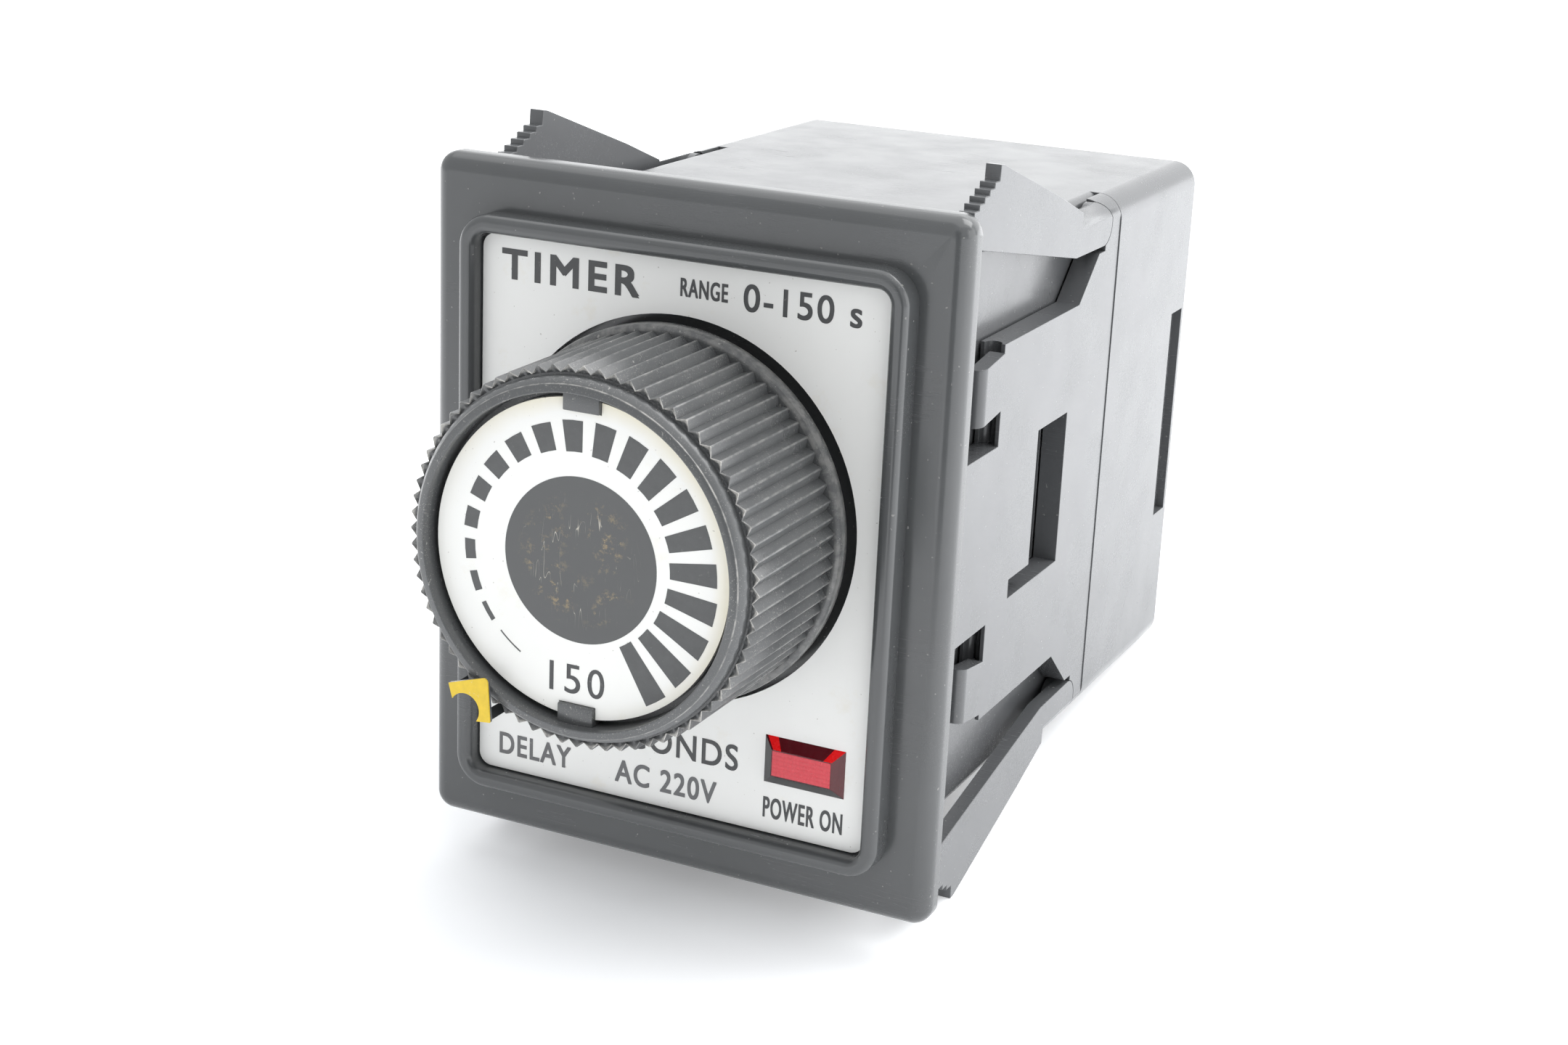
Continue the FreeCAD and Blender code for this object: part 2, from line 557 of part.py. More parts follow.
def adapter_plate():
    """The right-hand side plate: slots above and below leave room for the clips to flex."""
    pivot_y, pivot_z = CLIP_PIVOT
    seat_z = pivot_z - KNUCKLE_R - 0.55
    half = [(ADAPTER_FRONT, SLOT_Z), (30.4, SLOT_Z), (35.4, seat_z), (pivot_y + 0.5, seat_z),
            (pivot_y + 0.5, CASE_H / 2), (STEP_Y - 0.08, CASE_H / 2)]
    outline = half + [(y, -z) for y, z in reversed(half)]
    plate = prism_x(outline, ADAPTER_X)
    socket = rod_x(KNUCKLE_R + RUN_GAP, (20, 25), pivot_y, pivot_z)
    pocket = box((20, 25), (0, 10.3), (8.7, 19.0))
    groove = rod_z(FINGER_KNUCKLE_R + RUN_GAP, (8.7, 19.0), FINGER_PIVOT_X, FINGER_PIVOT_Y)
    window = box((20, 25), WINDOW_Y, (-WINDOW_HALF, WINDOW_HALF))
    notch = box((20, 25), (15.8, WINDOW_Y[0] + 1), (-WINDOW_HALF, -WINDOW_HALF + 1.9))
    tools = [window, notch]
    for tool in (socket, pocket, groove):
        tools += [tool, flip_z(tool)]
    pegs = [rod_x(PEG_R, (PEG_END_X, ADAPTER_X[0]), y, z) for y, z in PEG_PLACES]
    return fuse([cut(plate, tools).common(envelope())] + pegs)


def clip():
    """The upper right clip. Its front face steps down towards the panel."""
    pivot_y, pivot_z = CLIP_PIVOT
    tip_y, tip_z = CLIP_TIP
    outline = [(pivot_y, pivot_z - KNUCKLE_R), (28.4, 23.2), CLIP_FRONT]
    z = tip_z - CLIP_FLAT - STEP_COUNT * STEP_RISE
    y = tip_y - STEP_COUNT * STEP_RUN
    outline += [(CLIP_FRONT[0], z)]
    for _ in range(STEP_COUNT):
        outline += [(y, z), (y, z + STEP_RISE)]
        y += STEP_RUN
        z += STEP_RISE
    outline += [(tip_y, z), (tip_y + 0.1, tip_z), (tip_y + 0.9, tip_z - 0.1), (22.6, 30.0),
                (29.6, CASE_H / 2), (pivot_y, pivot_z + KNUCKLE_R)]
    arm = prism_x(outline, (ADAPTER_X[1] - CLIP_T, ADAPTER_X[1]))
    knuckle = rod_x(KNUCKLE_R, (ADAPTER_X[0] + 0.1, ADAPTER_X[1]), pivot_y, pivot_z)
    room = fuse([envelope(), box((0, 30), (-5, 29.6), (0, 40))])
    return fuse([arm, knuckle]).common(room)


def finger():
    """The upper right latch finger, with a rounded nose."""
    nose_y, nose_r, outer = 4.9, 1.0, FINGER_PIVOT_X + 1.4
    outline = [(nose_y, 11.5), (nose_y, 16.9), (10.0, 17.6), (10.0, 12.2)]
    blade = prism_x(outline, (FINGER_PIVOT_X - 0.2, outer))
    corner = box((outer - nose_r, outer + 1), (nose_y - 1, nose_y + nose_r), (10, 20))
    corner = corner.cut(rod_z(nose_r, (10, 20), outer - nose_r, nose_y + nose_r))
    knuckle = rod_z(FINGER_KNUCKLE_R, (12.5, 17.2), FINGER_PIVOT_X, FINGER_PIVOT_Y)
    return fuse([blade.cut(corner), knuckle])


# ---------- boards and parts on them ----------

def board():
    plate = box((BOARD_X, BOARD_X + BOARD_T), BOARD_Y, (-BOARD_HALF_H, BOARD_HALF_H))
    return cut(plate, [rod_x(SCREW_R, (10, 20), y, z) for y, z in SPACER_PLACES])


def board_spacers():
    spacers = []
    for y, z in SPACER_PLACES:
        spacer = rod_x(SPACER_R, (-BOARD_X, BOARD_X), y, z)
        holes = [rod_x(SCREW_R, (x, x + SPACER_SCREW_LENGTH), y, z)
                 for x in (-BOARD_X, BOARD_X - SPACER_SCREW_LENGTH)]
        spacers.append(cut(spacer, holes))
    return group(spacers)


def spacer_screws():
    screws = []
    for y, z in SPACER_PLACES:
        outer = BOARD_X + BOARD_T
        head = rod_x(SPACER_HEAD_R, (outer, outer + SPACER_HEAD_T), y, z)
        slot = box((outer + 0.7, outer + 2), (y - 3, y + 3), (z - 0.3, z + 0.3))
        one = fuse([head, rod_x(SCREW_R, (BOARD_X - SPACER_SCREW_LENGTH, outer), y, z)]).cut(slot)
        screws += [one, flip_x(one)]
    return group(screws)


def transformer_core():
    core = box(CORE_X, CORE_Y, CORE_Z)
    room = (CORE_X[0] - 1, CORE_X[1] + 1)
    windows = [box(room, (CORE_Y[0] + LIMB, LEG_Y[0]), WINDOW_Z),
               box(room, (LEG_Y[1], CORE_Y[1] - LIMB), WINDOW_Z)]
    return cut(core, windows)


def bobbin_tube():
    """The outside of the tube that the windings lie on."""
    return box((-BOBBIN_X, BOBBIN_X), (LEG_Y[0] - BOBBIN_WALL, LEG_Y[1] + BOBBIN_WALL), WINDOW_Z)


def transformer_bobbin():
    bottoms = (WINDOW_Z[0], WINDOW_Z[1] - CHEEK_T)
    cheeks = [box((-11.4, 11.4), (18.1, 29.9), (z, z + CHEEK_T)) for z in bottoms]
    leg = box(CORE_X, LEG_Y, CORE_Z)
    return fuse([shape.cut(leg) for shape in [bobbin_tube()] + cheeks])


def transformer_winding():
    outer = box((-11, 11), (18.4, 29.6), (WINDOW_Z[0] + CHEEK_T, WINDOW_Z[1] - CHEEK_T))
    outer = round_edges(outer, 1.5, lambda edge: edge.BoundBox.ZLength > 5)
    return outer.cut(bobbin_tube())


def capacitor(x, y, z, radius):
    """A can standing on a board, its end at the larger x on the board."""
    can = rod_x(radius, x, y, z)
    can = round_edges(can, 0.6, lambda edge: edge.BoundBox.XMax < x[0] + 0.01)
    groove = Part.makeTorus(radius + 0.1, 0.4, V(x[1] - 2, y, z), V(1, 0, 0))
    leads = [rod_x(0.4, (x[1], BOARD_X), y + side, z) for side in (-2, 2)]
    return fuse([can.cut(groove)] + leads)


def timing_capacitor():
    return flip_x(capacitor((5.2, 15.0), 20.0, 11.0, 5.0))


def smoothing_capacitor():
    return capacitor((4.8, 15.0), 20.0, 11.0, 5.4)


def power_resistor():
    body = round_edges(box((9.8, 14.8), (30.0, 52.0), (12.0, 17.5)), 0.8, along_y)
    return fuse([body] + [box((14.8, BOARD_X), (y, y + 1.2), (13.5, 16.0)) for y in (31, 49.8)])


def resistors():
    parts = []
    for y in (34.0, 44.0):
        for z in (8.0, 11.0, 14.0, 17.0):
            ends = (y - 1.2, y + 7.2)
            lead = wire([(-BOARD_X, ends[0], z), (-13.9, ends[0], z), (-13.9, ends[1], z),
                         (-BOARD_X, ends[1], z)], 0.3)
            parts.append(fuse([lead, rod(1.1, (y, y + 6), -13.9, z)]))
    return group(parts)


def transistors():
    parts = []
    for z in (-12.0, -4.0, 4.0):
        body = rod_x(2.4, (-13.6, -8.8), 40.0, z).cut(box((-14, -8), (41.2, 43), (z - 3, z + 3)))
        legs = [box((-BOARD_X, -13.6), (39.7, 40.2), (z + side - 0.25, z + side + 0.25))
                for side in (-1.2, 0, 1.2)]
        parts.append(fuse([body] + legs))
    return group(parts)


# ---------- relay ----------

def relay_yoke():
    foot_top = YOKE_FOOT_Z[1]
    back = box((-6, 6), YOKE_Y, (foot_top, 3.2))
    foot = box((-6, 6), (38, YOKE_Y[1]), YOKE_FOOT_Z)
    shoulder = box((-7.4, 7.4), YOKE_Y, (-4, 3.2))
    pivot_y, pivot_z = ARMATURE_PIVOT
    ears = [box((x, x + 1.2), (52.4, 55.2), (-4, pivot_z + 1.4)) for x in (-7.4, 6.2)]
    holes = [rod_z(CORE_TENON_R, (-21, -18), 0, RELAY_Y), rod_x(ARMATURE_PIN_R, (-8, 8), pivot_y, pivot_z)]
    return cut(fuse([back, foot, shoulder] + ears), holes)


def relay_core():
    return fuse([rod_z(CORE_R, (YOKE_FOOT_Z[1], CORE_TOP), 0, RELAY_Y),
                 rod_z(CORE_HEAD_R, (CORE_TOP, CORE_TOP + 1), 0, RELAY_Y),
                 rod_z(CORE_TENON_R, YOKE_FOOT_Z, 0, RELAY_Y)])


def relay_bobbin():
    bottom, top = BOBBIN_HEIGHTS
    parts = [rod_z(COIL_INNER_R, BOBBIN_HEIGHTS, 0, RELAY_Y),
             rod_z(BOBBIN_FLANGE_R, (bottom, COIL_HEIGHTS[0]), 0, RELAY_Y),
             rod_z(BOBBIN_FLANGE_R, (COIL_HEIGHTS[1], top), 0, RELAY_Y)]
    return fuse(parts).cut(rod_z(CORE_R, (bottom - 1, top + 1), 0, RELAY_Y))


def relay_coil():
    return rod_z(COIL_R, COIL_HEIGHTS, 0, RELAY_Y).cut(rod_z(COIL_INNER_R, (-19, 5), 0, RELAY_Y))


def armature_pin():
    return rod_x(ARMATURE_PIN_R, (-8.2, 8.2), *ARMATURE_PIVOT)


def armature():
    pivot_y, pivot_z = ARMATURE_PIVOT
    plate = box((-5.6, 5.6), (38.5, pivot_y), (pivot_z - 0.6, pivot_z + 0.6))
    knuckle = rod_x(1.4, (-5.8, 5.8), pivot_y, pivot_z)
    return fuse([plate, knuckle]).cut(rod_x(ARMATURE_PIN_R + RUN_GAP, (-9, 9), pivot_y, pivot_z))


def armature_card():
    return box((-4, 4), (41, 50), (7.0, 8.6))


def moving_blade():
    blade = box((-BLADE_HALF_W, BLADE_HALF_W), (26, 48), (8.6, 8.95))
    return fuse([blade, rod_z(CONTACT_R, (7.9, 9.8), 0, CONTACT_Y)])


def contact_block():
    return fuse([box((-4, 4), (17.5, 22), (0, 13.5)), box((-4, 4), (17.5, 24), (-0.9, 0.4))])


def fixed_contacts():
    pairs = []
    for heights, tip in (((4.9, 5.3), (5.3, 6.3)), ((11.1, 11.5), (10.1, 11.1))):
        blade = box((-BLADE_HALF_W, BLADE_HALF_W), (22, 29.6), heights)
        pairs.append(fuse([blade, rod_z(CONTACT_R, tip, 0, CONTACT_Y)]))
    return group(pairs)


# ---------- every node ----------

def nodes():
    plate, arm, latch = adapter_plate(), clip(), finger()
    built = {
        "bezel": bezel(), "nameplate": nameplate(), "pointer": pointer(), "pointer_face": pointer_face(),
        "lens": lens(), "lamp_bulb": lamp_bulb(), "lamp_holder": lamp_holder(),
        "knob": knob(), "scale_plate": scale_plate(), "hub_clip": hub_clip(), "pot_shaft": pot_shaft(),
        "pot_bushing": pot_bushing(), "pot_nut": pot_nut(), "pot_can": pot_can(),
        "pot_element_disc": pot_element_disc(), "pot_track": pot_track(), "pot_terminals": pot_terminals(),
        "wiper_carrier": wiper_carrier(), "wiper": wiper(), "hookup_wires": hookup_wires(),
        "case": case(), "plug_base": plug_base(), "plug_pins": plug_pins(), "base_screws": base_screws(),
        "tie_rods": tie_rods(), "tie_nuts": tie_nuts(), "plug_leads": plug_leads(),
        "adapter_plate_right": plate, "adapter_plate_left": flip_x(plate),
        "board_right": board(), "board_left": flip_x(board()), "board_spacers": board_spacers(),
        "spacer_screws": spacer_screws(), "transformer_core": transformer_core(),
        "transformer_bobbin": transformer_bobbin(), "transformer_winding": transformer_winding(),
        "timing_capacitor": timing_capacitor(), "smoothing_capacitor": smoothing_capacitor(),
        "power_resistor": power_resistor(), "resistors": resistors(), "transistors": transistors(),
        "relay_yoke": relay_yoke(), "relay_core": relay_core(), "relay_bobbin": relay_bobbin(),
        "relay_coil": relay_coil(), "armature_pin": armature_pin(), "armature": armature(),
        "armature_card": armature_card(), "moving_blade": moving_blade(),
        "contact_block": contact_block(), "fixed_contacts": fixed_contacts(),
    }
    corners = ("upper_right", "upper_left", "lower_right", "lower_left")
    for corner, one_clip, one_finger in zip(corners, spread(arm), spread(latch)):
        built["clip_" + corner] = one_clip
        built["finger_" + corner] = one_finger
    return built


def save(name, shape):
    shape.translate(V(0, -BASE_REAR, 0))
    shape.exportStep("parts/" + name + ".step")
    print(name, len(shape.Solids), round(shape.Volume, 1), shape.isValid())


os.makedirs("parts", exist_ok=True)
for node_name, node_shape in nodes().items():
    save(node_name, node_shape)
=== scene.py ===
"""The looks of a flush-panel dial timer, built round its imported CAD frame.

Everything is in metres in the row frame: seen from the front, +X is right and +Z is up, and +Y goes
out of the back. MM turns the millimetres used below into metres.
"""
import json
import math

import bmesh
import bpy
from mathutils import Matrix, Vector


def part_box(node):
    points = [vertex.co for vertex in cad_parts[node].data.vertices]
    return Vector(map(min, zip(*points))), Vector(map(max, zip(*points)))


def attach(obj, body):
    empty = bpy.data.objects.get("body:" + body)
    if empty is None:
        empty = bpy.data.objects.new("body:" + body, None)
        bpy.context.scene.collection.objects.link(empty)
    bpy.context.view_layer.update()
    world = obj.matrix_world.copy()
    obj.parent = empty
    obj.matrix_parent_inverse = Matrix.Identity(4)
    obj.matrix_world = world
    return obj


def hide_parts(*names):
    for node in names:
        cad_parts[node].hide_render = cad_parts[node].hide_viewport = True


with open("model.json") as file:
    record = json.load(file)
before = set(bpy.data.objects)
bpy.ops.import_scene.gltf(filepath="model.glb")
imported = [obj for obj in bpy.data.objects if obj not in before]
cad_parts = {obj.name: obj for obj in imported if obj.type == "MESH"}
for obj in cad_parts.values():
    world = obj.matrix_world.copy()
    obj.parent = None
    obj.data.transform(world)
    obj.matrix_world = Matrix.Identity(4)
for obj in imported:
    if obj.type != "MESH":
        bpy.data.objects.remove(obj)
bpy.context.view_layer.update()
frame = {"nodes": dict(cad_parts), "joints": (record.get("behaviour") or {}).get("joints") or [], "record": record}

MM = 0.001
NODES = frame["nodes"]
JOINTS = {joint["name"]: joint for joint in frame["joints"]}
BODIES = frame["record"]["behaviour"]["bodies"]
BODY_OF = {node: body for body, nodes in BODIES.items() for node in nodes}
SLOT_OF = {part["node"]: part["material_slot"] for part in frame["record"]["subparts"]}


# ---------- places ----------

def low(node):
    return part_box(node)[0]


def high(node):
    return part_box(node)[1]


DIAL_Z = JOINTS["dial_turn"]["pos_m"][2]
SCALE_Y = low("scale_plate").y
SCALE_R = high("scale_plate").x
NAMEPLATE_Y = low("nameplate").y
KNOB_FRONT, KNOB_REAR = low("knob").y, high("knob").y
KNURL_FRONT = KNOB_FRONT + 1.3 * MM

# The knob's radii, from its bore outwards
BORE_R, HUB_R, SCALE_SEAT_R, RIM_R, CAVITY_R = 3.0 * MM, 6.2 * MM, 14.2 * MM, 14.75 * MM, 15.2 * MM
RIM_EDGE_R, TOOTH_ROOT_R, KNURL_R, LIP_R = 15.5 * MM, 16.2 * MM, 16.95 * MM, 17.5 * MM


# ---------- node trees ----------

class Shader:
    """A small wrapper for writing a material's node tree."""

    def __init__(self, name):
        self.material = bpy.data.materials.new(name)
        self.material.use_nodes = True
        self.tree = self.material.node_tree
        self.tree.nodes.clear()
        self.output = self.node("ShaderNodeOutputMaterial")
        self.bsdf = self.node("ShaderNodeBsdfPrincipled")
        self.link(self.bsdf.outputs[0], self.output.inputs["Surface"])
        self.place = self.node("ShaderNodeTexCoord").outputs["Object"]
        self.height = None

    def node(self, kind, **settings):
        made = self.tree.nodes.new(kind)
        for key, value in settings.items():
            setattr(made, key, value)
        return made

    def link(self, source, target):
        self.tree.links.new(source, target)

    def feed(self, target, value):
        """Links a socket, or sets a number or colour."""
        if isinstance(value, bpy.types.NodeSocket):
            self.link(value, target)
        else:
            target.default_value = value

    def tint(self, target, value):
        """Links a colour socket, or sets its three channels."""
        self.feed(target, value if isinstance(value, bpy.types.NodeSocket) else (*value, 1.0))

    def math(self, operation, first, second=0.0):
        made = self.node("ShaderNodeMath", operation=operation)
        for target, value in zip(made.inputs, (first, second)):
            self.feed(target, value)
        return made.outputs[0]

    def times(self, first, second):
        return self.math("MULTIPLY", first, second)

    def plus(self, first, second):
        return self.math("ADD", first, second)

    def away(self, value, place):
        """How far a value is from a place, on either side."""
        return self.math("ABSOLUTE", self.math("SUBTRACT", value, place))

    def length(self, first, second):
        """The length of a vector with two components."""
        squares = [self.math("POWER", part, 2.0) for part in (first, second)]
        return self.math("SQRT", self.plus(*squares))

    def scaled(self, size, stretch):
        mapping = self.node("ShaderNodeMapping")
        mapping.inputs["Scale"].default_value = [factor / size for factor in stretch]
        self.link(self.place, mapping.inputs["Vector"])
        return mapping.outputs[0]

    def noise(self, size, detail=3.0, rough=0.5, stretch=(1, 1, 1), distortion=0.0):
        """Noise between 0 and 1 whose features are about size metres across."""
        made = self.node("ShaderNodeTexNoise")
        settings = {"Scale": 1.0, "Detail": detail, "Roughness": rough, "Distortion": distortion}
        for name, value in settings.items():
            made.inputs[name].default_value = value
        self.link(self.scaled(size, stretch), made.inputs["Vector"])
        return made.outputs[0]

    def axes(self):
        """The three object coordinates, in metres."""
        made = self.node("ShaderNodeSeparateXYZ")
        self.link(self.place, made.inputs[0])
        return made.outputs

    def spread(self, value, start, end, low_value=0.0, high_value=1.0):
        """Maps value from start..end to low_value..high_value, clamped."""
        made = self.node("ShaderNodeMapRange")
        for socket, setting in zip(made.inputs, (value, start, end, low_value, high_value)):
            self.feed(socket, setting)
        return made.outputs[0]

    def mix(self, share, first, second):
        made = self.node("ShaderNodeMix", data_type="RGBA")
        self.feed(made.inputs["Factor"], share)
        for name, value in (("A", first), ("B", second)):
            self.tint([s for s in made.inputs if s.name == name and s.type == "RGBA"][0], value)
        return [s for s in made.outputs if s.type == "RGBA"][0]

    def colour(self, value):
        self.tint(self.bsdf.inputs["Base Color"], value)

    def set(self, **values):
        for name, value in values.items():
            self.feed(self.bsdf.inputs[name.replace("_", " ")], value)

    def raise_by(self, pattern, amount):
        """Adds a pattern to the bump, amount metres high where the pattern is 1."""
        height = self.times(pattern, amount)
        self.height = height if self.height is None else self.plus(self.height, height)

    def done(self):
        if self.height is not None:
            bump = self.node("ShaderNodeBump")
            bump.inputs["Distance"].default_value = 1.0
            self.link(self.height, bump.inputs["Height"])
            self.link(bump.outputs[0], self.bsdf.inputs["Normal"])
        return self.material


def shaded(colour, factor):
    return tuple(min(1.0, channel * factor) for channel in colour)


# ---------- materials ----------

# A pale dust colour, also mixed in as painted highlights on the knob's ridges and rim
DUST_AND_HIGHLIGHT = (0.62, 0.60, 0.56)
TARNISH = (0.25, 0.2, 0.15)


def hairlines(s):
    """Fine scratches in patches, between 0 and 1, roughly from side to side."""
    lines = s.noise(0.6 * MM, 2, 0.5, stretch=(0.05, 1, 1.3), distortion=0.5)
    hair = s.spread(s.away(lines, 0.5), 0.0, 0.008, 1.0, 0.0)
    return s.times(hair, s.spread(s.noise(9 * MM, 2), 0.50, 0.62))


def moulded(name, colour, rough, grain=0.35 * MM, grain_height=2e-6, mottle=0.08, dust=0.35,
            wear=None):
    """Moulded plastic: soft mottling, a fine texture, hairline scratches and settled dust.

    wear, if given, is a function of the shader that says where the colour is mixed pale: where it is worn, and
    painted highlights on edges.
    """
    s = Shader(name)
    shade = s.mix(s.spread(s.noise(14 * MM, 4, 0.6), 0.3, 0.7),
                  shaded(colour, 1 - mottle), shaded(colour, 1 + mottle))
    specks = s.spread(s.noise(0.45 * MM, 1, 0.5), 0.74, 0.80, 0.0, dust)
    hair = hairlines(s)
    shade = s.mix(s.times(hair, 0.3), shade, shaded(colour, 1.7))
    if wear:
        # The wear pattern paints pale marks that are partly wear and partly painted highlights
        shade = s.mix(wear(s), shade, DUST_AND_HIGHLIGHT)
    s.colour(s.mix(specks, shade, DUST_AND_HIGHLIGHT))
    uneven = s.spread(s.noise(6 * MM, 4), 0.3, 0.7, rough * 0.85, rough * 1.18)
    uneven = s.plus(uneven, s.times(hair, 0.2))
    s.set(Roughness=s.plus(uneven, s.times(specks, 0.5)))
    s.set(IOR=1.58)
    s.raise_by(s.noise(grain, 2, 0.6), grain_height)
    s.raise_by(specks, 5e-6)
    s.raise_by(hair, -2e-6)
    return s.done()


def around_dial(s):
    """Distance from the dial's axis."""
    x, _, z = s.axes()
    return s.length(x, s.math("SUBTRACT", z, DIAL_Z))


def near(s, value, place, width):
    """1 where value is at a place, falling to 0 a width away."""
    return s.spread(s.away(value, place), 0.0, width, 1.0, 0.0)


def knob_wear(s):
    """Pale ridge crests and tooth ends, partly worn and partly painted highlights, a painted highlight along the
    rim's outer edge, and fine dust in drifts.
    """
    reach, depth = around_dial(s), s.axes()[1]
    patches = s.spread(s.noise(1.1 * MM, 3, 0.6), 0.42, 0.60, 0.15, 1.0)
    # Partly wear, partly painted highlights: pale crests and pale tooth ends at the knurl's front
    crest_wear_and_highlight = s.spread(reach, KNURL_R - 0.10 * MM, KNURL_R, 0.0, 0.16)
    ends = s.times(near(s, depth, KNURL_FRONT + 0.03 * MM, 0.08 * MM),
                   s.spread(reach, TOOTH_ROOT_R - 0.1 * MM, TOOTH_ROOT_R, 0.0, 0.75))
    # Painted highlight: a pale line along the rim's outer edge
    rim = s.times(near(s, reach, RIM_EDGE_R, 0.07 * MM),
                  s.spread(depth, KNOB_FRONT + 0.5 * MM, KNOB_FRONT + 0.6 * MM, 0.45, 0.0))
    rubbed_and_highlit = s.times(s.plus(s.plus(crest_wear_and_highlight, ends), rim), patches)
    drifts = s.spread(s.noise(2.6 * MM, 2, 0.5), 0.46, 0.66, 0.25, 1.0)
    dust = s.times(s.spread(s.noise(0.13 * MM, 2, 0.6), 0.60, 0.72, 0.0, 0.55), drifts)
    return s.math("MAXIMUM", rubbed_and_highlit, dust)


def painted_plate(name, colour, rough, edge_yellow=0.0, radius=None):
    """A flat painted plate: an even satin coat and faint stains.

    A plate that is round, with a radius, yellows towards its rim at the right and top.
    """
    s = Shader(name)
    shade = s.mix(s.spread(s.noise(18 * MM, 4, 0.6), 0.35, 0.75), colour, shaded(colour, 0.965))
    stain = s.spread(s.noise(3.5 * MM, 5, 0.65), 0.60, 0.72, 0.0, 0.22)
    shade = s.mix(stain, shade, (0.72, 0.66, 0.52))
    if radius:
        x, _, z = s.axes()
        wavy = s.plus(around_dial(s), s.times(s.noise(4 * MM, 3), 1.2 * MM))
        ring = s.spread(wavy, radius - 0.9 * MM, radius + 0.7 * MM, 0.0, edge_yellow)
        ring = s.times(ring, s.spread(s.plus(x, z), -8 * MM, 14 * MM, 0.1, 1.0))
        shade = s.mix(ring, shade, (0.80, 0.74, 0.55))
    specks = s.spread(s.noise(0.35 * MM, 1, 0.5), 0.76, 0.79, 0.0, 0.5)
    s.colour(s.mix(specks, shade, (0.30, 0.28, 0.25)))
    s.set(Roughness=s.spread(s.noise(5 * MM, 4), 0.3, 0.7, rough * 0.9, rough * 1.12))
    s.raise_by(s.noise(0.22 * MM, 2, 0.6), 1.2e-6)
    return s.done()


def ink(name, colour, wear=0.25, rough=0.55):
    """Screen-printed ink: slightly uneven, with worn spots that let the ground show."""
    s = Shader(name)
    shade = s.mix(s.noise(0.9 * MM, 4, 0.7), shaded(colour, 0.85), shaded(colour, 1.25))
    worn = s.spread(s.noise(0.5 * MM, 5, 0.7), 0.64, 0.74, 0.0, wear)
    s.colour(s.mix(worn, shade, (0.62, 0.60, 0.55)))
    s.set(Roughness=s.spread(worn, 0.0, 1.0, rough, rough + 0.2))
    s.raise_by(s.noise(0.3 * MM, 3, 0.6), 2e-6)
    return s.done()


def scuffed_disc(name, colour):
    """The dial's painted centre: a ring of grime and short scrapes where fingers have rubbed it."""
    s = Shader(name)
    shade = s.mix(s.noise(6 * MM, 4, 0.6), shaded(colour, 0.92), shaded(colour, 1.1))
    band = s.spread(s.away(around_dial(s), 3.6 * MM), 0.6 * MM, 2.6 * MM, 1.0, 0.0)
    grime = s.times(s.spread(s.noise(0.8 * MM, 6, 0.75), 0.545, 0.64), band)
    grime = s.times(grime, s.spread(s.noise(3.2 * MM, 2), 0.42, 0.60))
    shade = s.mix(s.times(grime, 0.85), shade, (0.34, 0.26, 0.15))
    scrape = s.noise(0.9 * MM, 1, 0.4, stretch=(1.0, 1.0, 0.12), distortion=0.8)
    scrape = s.times(s.spread(s.away(scrape, 0.5), 0.0, 0.006, 1.0, 0.0), band)
    scrape = s.times(scrape, s.spread(s.noise(2.4 * MM, 2), 0.50, 0.58))
    s.colour(s.mix(s.times(scrape, 0.9), shade, (0.60, 0.56, 0.48)))
    s.set(Roughness=s.plus(s.spread(grime, 0.0, 1.0, 0.42, 0.7), s.times(scrape, 0.2)))
    s.raise_by(s.noise(0.25 * MM, 2, 0.6), 1.5e-6)
    s.raise_by(grime, 3e-6)
    return s.done()


def metal(name, colour, rough, stretch=(1, 0.08, 1)):
    """Plated or drawn metal: drawing lines along one axis, cloudy tarnish and small pits."""
    s = Shader(name)
    cloud = s.spread(s.noise(5 * MM, 5, 0.6), 0.45, 0.75, 0.0, 0.35)
    dull = tuple(clean * 0.4 + dirt * 0.6 for clean, dirt in zip(colour, TARNISH))
    shade = s.mix(cloud, colour, dull)
    pits = s.spread(s.noise(0.4 * MM, 2, 0.6), 0.70, 0.76, 0.0, 0.6)
    s.colour(s.mix(pits, shade, TARNISH))
    s.set(Metallic=1.0)
    s.set(Roughness=s.plus(s.spread(s.noise(2 * MM, 4), 0.3, 0.7, rough * 0.8, rough * 1.3),
                           s.times(pits, 0.3)))
    s.raise_by(s.noise(0.12 * MM, 3, 0.6, stretch=stretch), 1.2e-6)
    s.raise_by(pits, -4e-6)
    return s.done()


def laminate(name, colour, weave=0.6 * MM):
    """Paper or glass laminate board: a fine weave under a thin glossy resin."""
    s = Shader(name)
    waves = [s.math("SINE", s.times(axis, 2 * math.pi / weave)) for axis in s.axes()[1:]]
    threads = s.spread(s.times(*waves), -1.0, 1.0)
    shade = s.mix(threads, shaded(colour, 0.82), shaded(colour, 1.15))
    s.colour(s.mix(s.spread(s.noise(7 * MM, 4), 0.4, 0.7, 0.0, 0.4), shade, shaded(colour, 0.7)))
    s.set(Roughness=s.spread(s.noise(3 * MM, 3), 0.3, 0.7, 0.3, 0.5))
    s.raise_by(threads, 4e-6)
    return s.done()


def windings(name, colour, pitch, axis=2):
    """Turns of enamelled wire or tape, side by side along one axis, with painted shade where neighbouring turns
    meet.
    """
    s = Shader(name)
    along = s.axes()[axis]
    turns = s.math("ABSOLUTE", s.math("SINE", s.times(along, math.pi / pitch)))
    # Painted shade in the grooves where neighbouring turns meet; for stacked laminations these are also their dark
    # joints
    shade = s.mix(turns, shaded(colour, 0.45), colour)
    s.colour(s.mix(s.noise(2 * MM, 3), shade, shaded(colour, 0.85)))
    s.set(Roughness=s.spread(s.noise(1.5 * MM, 3), 0.3, 0.7, 0.25, 0.45))
    s.raise_by(turns, pitch * 0.25)
    return s.done()


